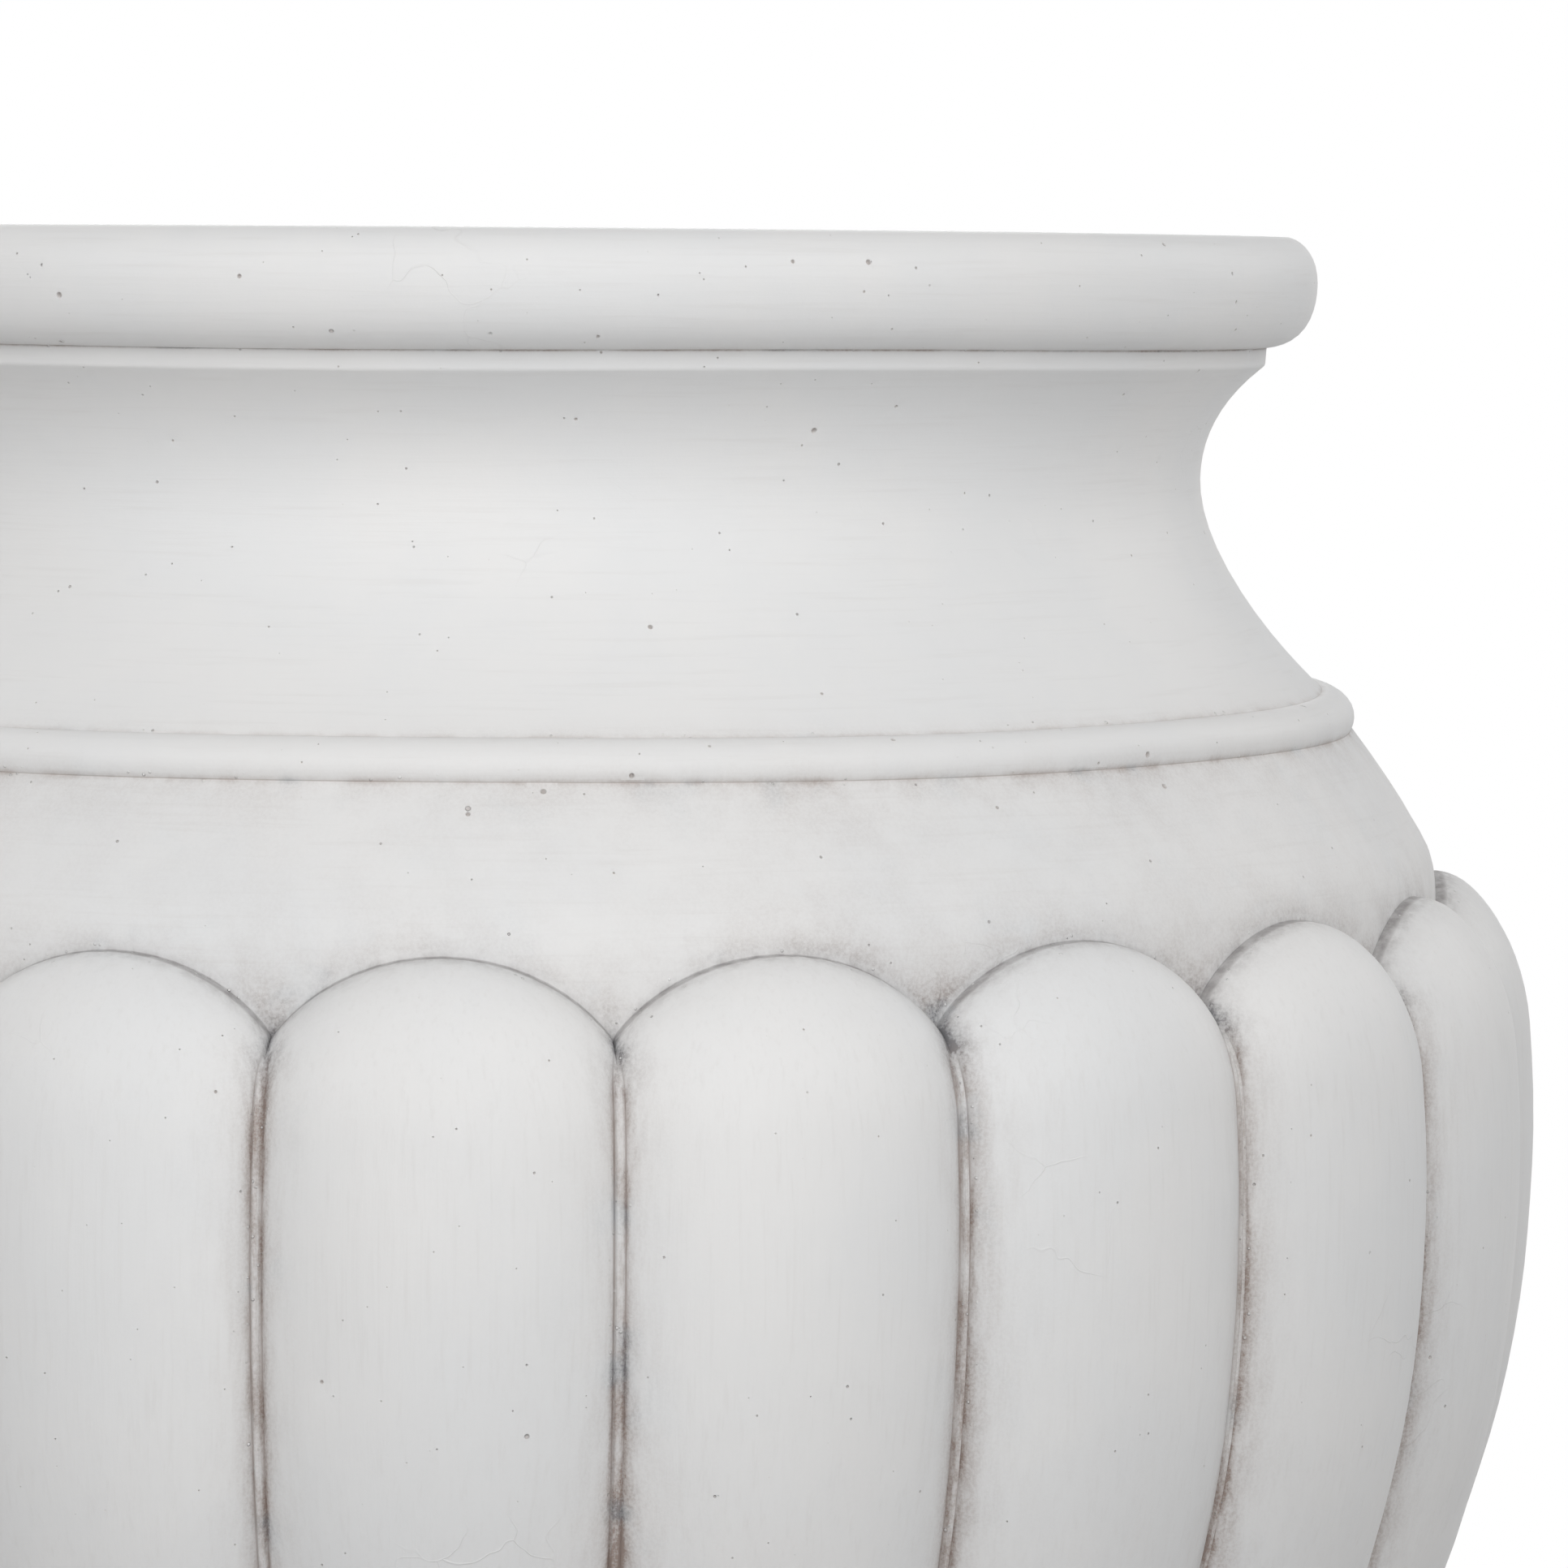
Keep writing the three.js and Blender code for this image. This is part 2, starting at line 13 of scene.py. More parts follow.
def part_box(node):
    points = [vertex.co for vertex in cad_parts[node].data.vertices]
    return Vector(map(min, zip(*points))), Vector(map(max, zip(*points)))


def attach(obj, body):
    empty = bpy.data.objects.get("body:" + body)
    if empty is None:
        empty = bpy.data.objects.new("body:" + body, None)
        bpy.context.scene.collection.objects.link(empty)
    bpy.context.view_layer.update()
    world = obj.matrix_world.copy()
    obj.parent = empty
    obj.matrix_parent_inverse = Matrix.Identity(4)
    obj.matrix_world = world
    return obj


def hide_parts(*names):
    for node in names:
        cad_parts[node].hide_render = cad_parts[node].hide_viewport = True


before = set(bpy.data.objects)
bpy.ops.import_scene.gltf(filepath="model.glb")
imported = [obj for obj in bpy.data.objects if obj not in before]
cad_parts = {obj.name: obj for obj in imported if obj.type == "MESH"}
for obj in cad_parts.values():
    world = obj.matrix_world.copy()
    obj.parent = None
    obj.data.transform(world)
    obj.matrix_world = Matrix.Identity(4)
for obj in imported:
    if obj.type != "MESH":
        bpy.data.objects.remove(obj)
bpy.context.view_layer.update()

MM = 0.001
TAU = 2 * math.pi


# ------------------------------------------------------------------ camera

PHOTO_SIDE = 1932                    # pixels
FOCAL_PIXELS = 8260.2
SENSOR = 36.0
CAMERA_AROUND = math.radians(11.845)     # from -Y towards +X, so that a groove is as in the photo
CAMERA_DISTANCE = 1.97786
CAMERA_HEIGHT = 0.59871
CAMERA_YAW = math.radians(2.4594)
CAMERA_PITCH = math.radians(4.3718)
CAMERA_ROLL = 0.00727


def make_camera():
    data = bpy.data.cameras.new("camera")
    data.sensor_width = SENSOR
    data.lens = FOCAL_PIXELS / PHOTO_SIDE * SENSOR
    data.clip_start = 0.05
    data.clip_end = 60
    flat = math.cos(CAMERA_PITCH)
    forward = Vector((
        math.sin(CAMERA_YAW) * flat,
        math.cos(CAMERA_YAW) * flat,
        -math.sin(CAMERA_PITCH),
    ))
    right = Vector((math.cos(CAMERA_YAW), -math.sin(CAMERA_YAW), 0))
    up = right.cross(forward)
    rolled_right = math.cos(CAMERA_ROLL) * right + math.sin(CAMERA_ROLL) * up
    rolled_up = math.cos(CAMERA_ROLL) * up - math.sin(CAMERA_ROLL) * right
    turn = Matrix.Rotation(CAMERA_AROUND, 3, "Z")
    axes = Matrix((rolled_right, rolled_up, -forward)).transposed()
    place = turn @ Vector((0, -CAMERA_DISTANCE, CAMERA_HEIGHT))
    camera = bpy.data.objects.new("camera", data)
    camera.matrix_world = Matrix.Translation(place) @ (turn @ axes).to_4x4()
    bpy.context.scene.collection.objects.link(camera)
    bpy.context.scene.camera = camera


# ------------------------------------------------------------------ outline helpers

def bezier(start, control1, control2, end, steps, grade=0.0):
    """Points of a cubic Bezier without its first. grade 1 crowds them towards both ends."""
    s = np.linspace(0, 1, steps + 1)[1:]
    t = ((1 - grade) * s + grade * 0.5 * (1 - np.cos(math.pi * s)))[:, None]
    a, b, c, d = (np.array(p, float) for p in (start, control1, control2, end))
    u = 1 - t
    return u**3 * a + 3 * u**2 * t * b + 3 * u * t**2 * c + t**3 * d


def catmull_rom(points, steps):
    """The smooth curve through points, as the part's own outline has it."""
    p = np.array([points[0], *points, points[-1]], float)
    t = np.linspace(0, 1, steps, endpoint=False)[:, None]
    out = []
    for i in range(1, len(p) - 2):
        v0, v1 = (p[i + 1] - p[i - 1]) / 2, (p[i + 2] - p[i]) / 2
        rise = p[i] - p[i + 1]
        out.append((2 * rise + v0 + v1) * t**3 - (3 * rise + 2 * v0 + v1) * t**2 + v0 * t + p[i])
    return np.vstack([*out, p[-1:]])


def arc_along(points):
    """The distance along an outline at each of its points."""
    return np.concatenate([[0], np.cumsum(np.hypot(*np.diff(points, axis=0).T))])


def end_to_end(stretches):
    """Stretches as one outline, the distance along it, and that distance at each stretch's end."""
    outline = np.vstack(stretches)
    arc = arc_along(outline)
    return outline, arc, arc[np.cumsum([len(s) for s in stretches]) - 1]


class Curve:
    """A (radius, height) outline that is looked up by the distance along it."""

    def __init__(self, points):
        self.points = np.asarray(points, float)
        self.arc = arc_along(self.points)
        self.length = self.arc[-1]
        slope = np.gradient(self.points, self.arc, axis=0)
        self.slope = slope / np.hypot(*slope.T)[:, None]

    def _look_up(self, table, distance):
        return np.stack([np.interp(distance, self.arc, table[:, k]) for k in (0, 1)], -1)

    def at(self, distance):
        return self._look_up(self.points, distance)

    def tangent(self, distance):
        return self._look_up(self.slope, distance)


def rounded(outline, radius, steps=4):
    """The outline with each corner between its two ends rounded, by under half its sides."""
    points = np.array(outline, float)
    out = [points[0]]
    for before, corner, after in zip(points, points[1:], points[2:]):
        back, on = before - corner, after - corner
        reach = min(radius, np.hypot(*back) / 2.1, np.hypot(*on) / 2.1)
        start = corner + back / np.hypot(*back) * reach
        end = corner + on / np.hypot(*on) * reach
        for t in np.linspace(0, 1, steps + 1):
            out.append((1 - t)**2 * start + 2 * t * (1 - t) * corner + t**2 * end)
    out.append(points[-1])
    return np.array(out)


def waves(points, wavelength, seed, count=16):
    """A smooth random field of about -1 to 1 over points, from seeded plane waves."""
    random = np.random.default_rng(seed)
    heading = random.normal(size=(count, 3))
    heading /= np.linalg.norm(heading, axis=1)[:, None]
    pace = TAU / wavelength * random.uniform(0.65, 1.5, count)
    phase = random.uniform(0, TAU, count)
    return np.sin(points @ (heading * pace[:, None]).T + phase).sum(-1) / math.sqrt(count)


def fade(distance, reach):
    """1 at no distance on either side, and falling off over reach."""
    return np.exp(-np.abs(distance) / reach)


def pool(distance, reach):
    """As fade, but fuller near the middle."""
    return np.exp(-(distance / reach)**1.5)


def smooth_step(low, high, value):
    t = np.clip((value - low) / (high - low), 0, 1)
    return t * t * (3 - 2 * t)


# ------------------------------------------------------------------ meshes

SHARP_ANGLE = math.radians(40)       # edges bent more than this are shaded as creases
FAR = 40.0                           # mm to the nearest crease, where none is near


class Rings:
    """A mesh that grows ring by ring round the axis, with the masks its material reads.

    crease is the distance to the nearest crease in mm, and smudge the strength of the antiquing.
    The others run from 0 to 1: on a lobe, in a modelled pinhole, on the raw inside, and where
    the antiquing is grey.
    """

    MASKS = ("crease", "smudge", "lobe", "pit", "inside", "cool")
    UNSET = {"crease": FAR}

    def __init__(self):
        self.points = []
        self.masks = []
        self.faces = []
        self.count = 0

    def add(self, points, **masks):
        """Adds one ring's points, and returns their numbers in the mesh."""
        size = len(points)
        columns = [np.broadcast_to(masks.get(m, self.UNSET.get(m, 0.0)), (size,))
                   for m in self.MASKS]
        self.points.append(np.asarray(points, float))
        self.masks.append(np.stack(columns, -1))
        numbers = np.arange(self.count, self.count + size)
        self.count += size
        return numbers

    def join(self, upper, lower, skip=()):
        """Joins two rings of one count, or a ring with one of half its count."""
        if len(upper) == len(lower):
            right = np.roll(upper, -1), np.roll(lower, -1)
            quads = np.stack([upper, lower, right[1], right[0]], -1)
            self.faces += [q for i, q in enumerate(quads.tolist()) if i not in skip]
        elif len(upper) == 2 * len(lower):
            self._halve(upper, lower, False)
        else:
            self._halve(lower, upper, True)

    def chain(self, rings):
        """Joins each ring to the next."""
        for upper, lower in zip(rings, rings[1:]):
            self.join(upper, lower)

    def _halve(self, fine, coarse, turned):
        first, middle, last = fine[0::2], fine[1::2], np.roll(fine[0::2], -1)
        onward = np.roll(coarse, -1)
        for a, m, b, c, d in zip(first, middle, last, coarse, onward):
            for face in ((a, c, m), (m, c, d), (m, d, b)):
                self.faces.append([int(v) for v in (face[::-1] if turned else face)])

    def finish(self, name):
        mesh = bpy.data.meshes.new(name)
        mesh.from_pydata(np.vstack(self.points).tolist(), [], self.faces)
        table = np.vstack(self.masks)
        for column, mask in enumerate(self.MASKS):
            layer = mesh.attributes.new(mask, "FLOAT", "POINT")
            layer.data.foreach_set("value", table[:, column].astype(np.float32))
        mesh.validate()
        mesh.shade_smooth()
        mesh.set_sharp_from_angle(angle=SHARP_ANGLE)
        thing = bpy.data.objects.new(name, mesh)
        bpy.context.scene.collection.objects.link(thing)
        return thing


def on_ring(angles, radius, height):
    radius, height = np.broadcast_to(radius, angles.shape), np.broadcast_to(height, angles.shape)
    return np.stack([radius * np.cos(angles), radius * np.sin(angles), height], -1)


def place(thing, node, body, material):
    """Lets a piece stand for a CAD node: hides the node, and hangs the piece on the body given, with
    the material given.
    """
    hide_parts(node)
    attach(thing, body)
    thing.data.materials.append(material)


# ------------------------------------------------------------------ the bowl's outline

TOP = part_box("urn_bowl")[1].z
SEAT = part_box("socle_foot")[1].z + 2.6 * MM      # where the bowl stands, over the gasket

RIM_LIP_RADIUS = 0.197
RIM_CORNER = (0.232, 0.0004)         # radius, and drop below the rim's top
RIM_WIDEST = (0.2402, 0.0135)
RIM_CREASE = (0.2257, 0.0322)
FILLET_HEIGHT = 0.0052
NECK = (0.2068, 0.0709)
BEAD_TOP = (0.243, 0.1327)
BEAD_BOTTOM = (0.2516, 0.1437)

COLLAR_RADIUS = 0.128
COLLAR_TOP = SEAT + 0.008
FLOOR_TOP = SEAT + 0.028
SPIGOT_RADIUS = 0.062
SPIGOT_DROP = 0.006
BOLT_HOLE_RADIUS = 0.016
RECESS_RADIUS = 0.034                # in the inner floor, for the drain fitting's flange
RECESS_DEPTH = 0.008

LOBES = 20
LOBE_SPREAD = 1.17                   # half width of a whole lobe over half the pitch
LOBE_HEIGHT_TO_WIDTH = 0.53
LOBE_TOP_START = 0.050               # along the body, from the bead to the arch's top
LOBE_TOP_LENGTH = 0.046
LOBE_FOOT_LENGTH = 0.024
LOBE_FOOT_END = 0.016                # along the body, from the lobe's foot to the collar
GROOVE_STRIP = 0.033                 # half the raised strip between lobes, over half the pitch
STRIP_RISE = 0.0011                  # how far the strip's middle stands up
STRIP_FADE = 0.012                   # length over which the strip opens below the notch
STRIP_FOOT_FADE = 0.020              # length over which it closes again at the lobe's foot
UNOPENED = 0.35                      # the strip's width above the notch, over its full width
LINE_DEPTH = 0.0008                  # of the two fine lines that bound the strip
LINE_REACH = 0.0009
BOX_SIDE_LOBES = (0, 4, 5, 9, 10, 14, 15, 19)    # those next to the X and Y axes
BOX_SIDE_TRIM = 0.975                # the height of those lobes over that of the others

BODY_POINTS = [
    (0.260, 0.455), (0.2692, 0.4412), (0.276, 0.4273), (0.2775, 0.403), (0.281, 0.350),
    (0.2776, 0.297), (0.2685, 0.254), (0.2558, 0.218), (0.225, 0.160), (0.178, 0.112),
]


def below(spot, radius=None):
    """A point given by its radius and its drop from the rim's top."""
    return (spot[0] if radius is None else radius, TOP - spot[1])


BODY = Curve(catmull_rom(
    [below(BEAD_BOTTOM), *BODY_POINTS, (COLLAR_RADIUS, COLLAR_TOP)], 40))
UPPER_CENTRE = LOBE_TOP_START + LOBE_TOP_LENGTH
LOWER_CENTRE = BODY.length - LOBE_FOOT_END - LOBE_FOOT_LENGTH


def neck_stretches():
    """The outline from the lip to the bead's foot, cut at its creases."""
    lip = (RIM_LIP_RADIUS, TOP)
    corner, widest, crease = below(RIM_CORNER), below(RIM_WIDEST), below(RIM_CREASE)
    edge = (crease[0] - 0.0004, crease[1] - FILLET_HEIGHT)
    neck, bead_top, bead_foot = below(NECK), below(BEAD_TOP), below(BEAD_BOTTOM)
    flat = np.linspace(lip, corner, 6)
    shoulder = bezier(corner, below((0.2365, 0.0016)), below((0.2402, 0.0065)), widest, 8)
    roll = bezier(widest, below((0.2402, 0.024)), below((0.2357, 0.0315)), crease, 12, 0.7)
    band = rounded([crease, edge, (edge[0] - 0.0012, edge[1] - 0.00096)], 0.0009, 3)
    clean = 0.88 * np.array(crease) + 0.12 * np.array(edge)      # the antiquing ends here
    cove_top = bezier(band[-1], below((0.212, 0.048)), below((0.2068, 0.059)), neck, 10)
    cove_foot = bezier(neck, below((0.2068, 0.093)), below((0.228, 0.1185)), bead_top, 12, 0.3)
    bead = bezier(bead_top, below((0.249, 0.1316)), below((0.2548, 0.138)), bead_foot, 12, 0.6)
    return [
        np.vstack([flat, shoulder, roll]),
        np.vstack([clean, band[1:], cove_top, cove_foot]),
        bead,
    ]


# ------------------------------------------------------------------ the bowl's columns and rows

LOBE_STEPS = 22
STRIP_STEPS = 4
CROWDING = 0.85                      # of a lobe's columns towards its grooves
LOBE_COLUMNS = LOBE_STEPS + STRIP_STEPS
COLUMNS = LOBES * LOBE_COLUMNS
ELSEWHERE = 2.0                      # the place of a column that isn't on the lobe, or the strip
ROW_COUNTS = {"shoulder": 12, "upper": 18, "belly": 33, "lower": 10, "apron": 4}


def column_places():
    """Each column's place across its lobe, and across the strip after it, from -1 to 1."""
    t = np.linspace(-1, 1, LOBE_STEPS + 1)
    across = (1 - CROWDING) * t + CROWDING * np.sin(t * math.pi / 2)
    strip = np.linspace(-1, 1, STRIP_STEPS + 1)[1:-1]
    lobe = np.concatenate([across, np.full(len(strip), ELSEWHERE)])
    groove = np.concatenate([np.full(len(across), ELSEWHERE), strip])
    return np.tile(lobe, LOBES), np.tile(groove, LOBES)


LOBE_PLACE, STRIP_PLACE = column_places()
IN_STRIP = STRIP_PLACE != ELSEWHERE
LOBE_NUMBER = np.repeat(np.arange(LOBES), LOBE_COLUMNS)


def spread_columns(strip):
    """Each column's place across its lobe for a groove strip of this half width, and its angle."""
    across = np.where(IN_STRIP, 1 + strip * STRIP_PLACE, LOBE_PLACE * (1 - strip))
    angle = (LOBE_NUMBER + 0.5 * (1 + across)) * TAU / LOBES
    return np.where(across > 1, 2 - across, across), angle


def end_reach(length, across):
    return length * np.sqrt(1 - (across / LOBE_SPREAD)**2)


NOTCH = UPPER_CENTRE - end_reach(LOBE_TOP_LENGTH, 1.0)


def row_places():
    """The rows from the bead down: the stretch that each is in, and its place along that."""
    share = {kind: np.linspace(0, 1, count + 1) for kind, count in ROW_COUNTS.items()}
    rows = []
    for s in share["shoulder"][:-1]:
        rows.append(("shoulder", 0.45 * s + 0.55 * 0.5 * (1 - math.cos(math.pi * s))))
    for s in share["upper"][:-1]:
        rows.append(("upper", math.pi / 2 * s**1.35))
    for s in share["belly"][:-1]:
        rows.append(("belly", s))
    for s in share["lower"]:
        rows.append(("lower", math.pi / 2 * (1 - s**0.8)))
    for s in share["apron"][1:]:
        rows.append(("apron", s))
    return rows


def lobed_row(kind, t):
    """One ring of the lobed wall: its points and its masks."""
    across, _ = spread_columns(GROOVE_STRIP)
    upper = UPPER_CENTRE - end_reach(LOBE_TOP_LENGTH, across)
    lower = LOWER_CENTRE + end_reach(LOBE_FOOT_LENGTH, across)
    one = np.ones(COLUMNS)
    distance, fraction = {
        "shoulder": lambda: (upper * t, 0 * one),
        "upper": lambda: (UPPER_CENTRE + (upper - UPPER_CENTRE) * math.cos(t), math.sin(t) * one),
        "belly": lambda: (UPPER_CENTRE + (LOWER_CENTRE - UPPER_CENTRE) * t * one, one),
        "lower": lambda: (LOWER_CENTRE + (lower - LOWER_CENTRE) * math.cos(t), math.sin(t) * one),
        "apron": lambda: (lower + (BODY.length - lower) * t, 0 * one),
    }[kind]()
    opened = smooth_step(NOTCH, NOTCH + STRIP_FADE, distance)
    opened = opened * smooth_step(0, STRIP_FOOT_FADE, BODY.length - LOBE_FOOT_END - distance)
    strip = GROOVE_STRIP * (UNOPENED + (1 - UNOPENED) * opened.max())
    across, angle = spread_columns(strip)
    body, tangent = BODY.at(distance), BODY.tangent(distance)
    half_pitch = math.pi * body[:, 0] / LOBES
    section = np.sqrt(1 - (across / LOBE_SPREAD)**2)
    trim = np.where(np.isin(LOBE_NUMBER, BOX_SIDE_LOBES), BOX_SIDE_TRIM, 1)
    rise = trim * LOBE_HEIGHT_TO_WIDTH * LOBE_SPREAD * half_pitch * section * fraction
    raised = np.where(IN_STRIP, 1 - STRIP_PLACE**2, 0) * STRIP_RISE * opened
    edge = np.exp(-((1 - np.abs(across) - strip) * half_pitch / LINE_REACH)**2)
    sunk = np.where(IN_STRIP, 0, edge) * LINE_DEPTH * opened
    lift = rise + raised - sunk
    points = on_ring(angle, body[:, 0] - tangent[:, 1] * lift, body[:, 1] + tangent[:, 0] * lift)
    return points, lobed_masks(kind, distance, across, upper, lower, half_pitch, points, strip)


WASH = {                             # the antiquing by each edge: its strength, and reach in mm
    "roll": (0.42, 2.2), "fillet": (0.04, 1), "bead_top": (0.10, 3), "bead_foot": (0.16, 3),
    "shoulder_top": (0.20, 7), "shoulder_arch": (0.26, 6), "shoulder_line": (0.18, 1.5),
    "lobe_arch": (0.12, 2.5), "groove": (0.30, 5.5), "groove_line": (0.22, 1.8),
    "lobe_foot": (0.25, 8), "foot_crease": (0.62, 6),
}
WASH_ON_LOBE, WASH_OFF_LOBE = 0.02, 0.06         # away from every edge
WASH_LEFT_FLANK, WASH_RIGHT_FLANK = 1.1, 0.8     # of a lobe, along its grooves
NOTCH_ON_LOBE, NOTCH_OFF_LOBE = (0.60, 3.6), (0.55, 8)      # strength, and reach in mm
NOTCH_COOL_REACH = 7
ARCH_COOL, ARCH_COOL_REACH = 0.75, 3
OVER_FLANK = 1.35                    # the way over a lobe's flank, over that straight across
HEAVIER_TOWARDS = math.radians(-10)
PATCH_LENGTH, PATCH_SEED = 0.12, 5


def wash(edge, distance):
    strength, reach = WASH[edge]
    return strength * fade(distance, reach)


def lobed_masks(kind, distance, across, upper, lower, half_pitch, points, strip):
    lean = (LOBE_TOP_LENGTH / LOBE_SPREAD**2 * across
            / np.sqrt(1 - (across / LOBE_SPREAD)**2) / half_pitch)
    to_arch = np.abs(distance - upper) / np.sqrt(1 + lean**2) / MM
    to_bead = distance / MM
    to_foot = np.abs(lower - distance) / MM
    groove = np.maximum(1 - np.abs(across) - strip, 0) * half_pitch * OVER_FLANK / MM
    in_strip = np.where(IN_STRIP, (1 - np.abs(STRIP_PLACE)) * strip * half_pitch / MM, FAR)
    on_lobe = kind in ("upper", "belly", "lower")
    past_notch = smooth_step(-0.002, 0.004, distance - NOTCH) * on_lobe
    to_groove = np.where(past_notch > 0.5, np.where(IN_STRIP, in_strip, groove), FAR)
    to_notch = np.hypot((1 - np.abs(across)) * half_pitch / MM, (distance - NOTCH) / MM * 0.8)
    crease = np.minimum.reduce([to_arch, to_groove, to_bead + 0.15, to_foot])
    if on_lobe:
        flank = np.where(across < 0, WASH_LEFT_FLANK, WASH_RIGHT_FLANK)
        smudge = WASH_ON_LOBE + wash("lobe_arch", to_arch)
        smudge = smudge + past_notch * flank * (wash("groove", groove) + wash("groove_line", groove))
    else:
        smudge = WASH_OFF_LOBE + wash("shoulder_arch", to_arch) + wash("shoulder_line", to_arch)
        smudge = smudge + wash("shoulder_top", to_bead)
        smudge = smudge + wash("lobe_foot", to_foot) * (kind == "apron")
    strength, reach = NOTCH_ON_LOBE if on_lobe else NOTCH_OFF_LOBE
    smudge = smudge + strength * pool(to_notch, reach)
    # The antiquing grows from 0.85 to 1.4 times as strong further down the body.
    lower_down = 0.85 + 0.55 * smooth_step(0.10, 0.26, distance)
    cool = np.maximum(pool(to_notch, NOTCH_COOL_REACH), ARCH_COOL * fade(to_arch, ARCH_COOL_REACH))
    return {
        "crease": np.minimum(crease, FAR),
        "smudge": smudge * lower_down * heavier_side(points),
        "lobe": float(on_lobe),
        "cool": cool,
    }


def heavier_side(points):
    """The antiquing is patchy, as hand work is, and a little heavier towards one side, the camera's
    right.
    """
    around = np.arctan2(points[:, 1], points[:, 0])
    patches = waves(points, PATCH_LENGTH, PATCH_SEED)
    return 1 + 0.42 * np.cos(around - HEAVIER_TOWARDS) + 0.22 * patches


# ------------------------------------------------------------------ the bowl

def neck_rows():
    """(radius, height, crease, smudge) for each ring from the lip to the bead's foot."""
    outline, arc, (rim_crease, bead_crease, bead_foot) = end_to_end(neck_stretches())
    to_rim = (arc - rim_crease) / MM
    to_bead = (arc - bead_crease) / MM
    to_foot = (arc - bead_foot) / MM
    rim_line = np.where(to_rim > 0, 4 * to_rim, -to_rim)       # none on the bright fillet
    crease = np.minimum.reduce([rim_line, np.abs(to_bead) + 0.25, np.abs(to_foot)])
    under_roll = np.where(to_rim <= 0, wash("roll", to_rim), wash("fillet", to_rim))
    smudge = under_roll + wash("bead_top", to_bead) + wash("bead_foot", to_foot)
    return np.column_stack([outline, crease, smudge])


def underside_outline():
    """Collar, seat, spigot, the hole for the drain fitting and the recess in the floor."""
    spigot_foot, recess_floor = SEAT - SPIGOT_DROP, FLOOR_TOP - RECESS_DEPTH
    corners = [
        (COLLAR_RADIUS, COLLAR_TOP), (COLLAR_RADIUS, SEAT + 0.001),
        (COLLAR_RADIUS - 0.002, SEAT), (SPIGOT_RADIUS, SEAT),
        (SPIGOT_RADIUS - 0.001, spigot_foot), (BOLT_HOLE_RADIUS, spigot_foot),
        (BOLT_HOLE_RADIUS, recess_floor), (RECESS_RADIUS, recess_floor),
        (RECESS_RADIUS, FLOOR_TOP), (0.040, FLOOR_TOP),
    ]
    return rounded(corners, 0.0012, 2)[1:-1]


def inside_outline():
    """The floor, the hollow belly, the neck and the rounded inner edge of the rim."""
    wall = catmull_rom([
        (0.096, FLOOR_TOP), (0.158, 0.118), (0.203, 0.160), (0.236, 0.220), (0.259, 0.290),
        (0.266, 0.350), (0.263, 0.400), (0.252, 0.432), (0.230, 0.466), (0.203, 0.497),
        (0.190, 0.522), (0.1868, 0.548), (0.190, TOP - 0.007),
    ], 2)
    lip = bezier(wall[-1], (0.190, TOP - 0.003), (0.193, TOP), (RIM_LIP_RADIUS, TOP), 5)
    return np.vstack([wall, lip[:-1]])


UNEVEN = ((0.00032, 0.16), (0.00014, 0.045))     # how far inwards, over which wavelength
SAG, SAG_LENGTH = 0.0004, 0.22       # how far up and down, over which wavelength
WOBBLE_SEED = 11
RAW_EDGE_SEED = 31


def handmade(points):
    """Moves points a little inwards, up and down, as a hand-finished casting is uneven."""
    radius = np.hypot(points[:, 0], points[:, 1])
    inward = sum(depth * (1 + waves(points, length, WOBBLE_SEED + i)) / 2
                 for i, (depth, length) in enumerate(UNEVEN))
    inward = np.clip(inward, 0, None) * smooth_step(COLLAR_RADIUS, COLLAR_RADIUS + 0.01, radius)
    out = points.copy()
    out[:, :2] *= (1 - inward / np.maximum(radius, 0.01))[:, None]
    sag = SAG * waves(points, SAG_LENGTH, WOBBLE_SEED + len(UNEVEN))
    amount = smooth_step(TOP - 0.01, TOP - 0.04, points[:, 2])
    out[:, 2] += sag * amount * smooth_step(COLLAR_TOP, COLLAR_TOP + 0.05, points[:, 2])
    return out


def outer_rows():
    """Every ring of the bowl's outside as (points, masks)."""
    _, angle = spread_columns(GROOVE_STRIP * UNOPENED)
    rows = []
    for radius, height, crease, smudge in neck_rows()[:-1]:
        points = on_ring(angle, radius, height)
        masks = {"crease": crease, "smudge": smudge * heavier_side(points)}
        rows.append((points, masks))
    rows += [lobed_row(kind, t) for kind, t in row_places()]
    return [(handmade(points), masks) for points, masks in rows]


PIT_SEED = 23
PIT_TRIES = 1500
PIT_CHANCE = 0.22
DENSER_PITS = ((0.0, 0.032, 0.55), (0.130, 0.146, 0.8))      # drops from the rim's top, chance
LEAST_PIT, MOST_ABOVE_LEAST = 0.26, 0.75     # radii in mm
PIT_DEPTH = 1.1                      # over the radius
PIT_RINGS = ((1.3, 0.0, 0.0), (1.0, 0.05, 0.3), (0.8, 0.6, 0.9), (0.4, 1.0, 1.0))
PIT_LOOP = [(-1, -1), (-1, 0), (-1, 1), (0, 1), (1, 1), (1, 0), (1, -1), (0, -1)]
PITLESS_TOP, PITLESS_FOOT = 8, 12    # rows without pinholes


def pit_chance(point):
    """Pinholes are denser on the rim's roll and on the bead."""
    drop = TOP - point[2]
    for low, high, chance in DENSER_PITS:
        if low < drop < high:
            return chance
    return PIT_CHANCE


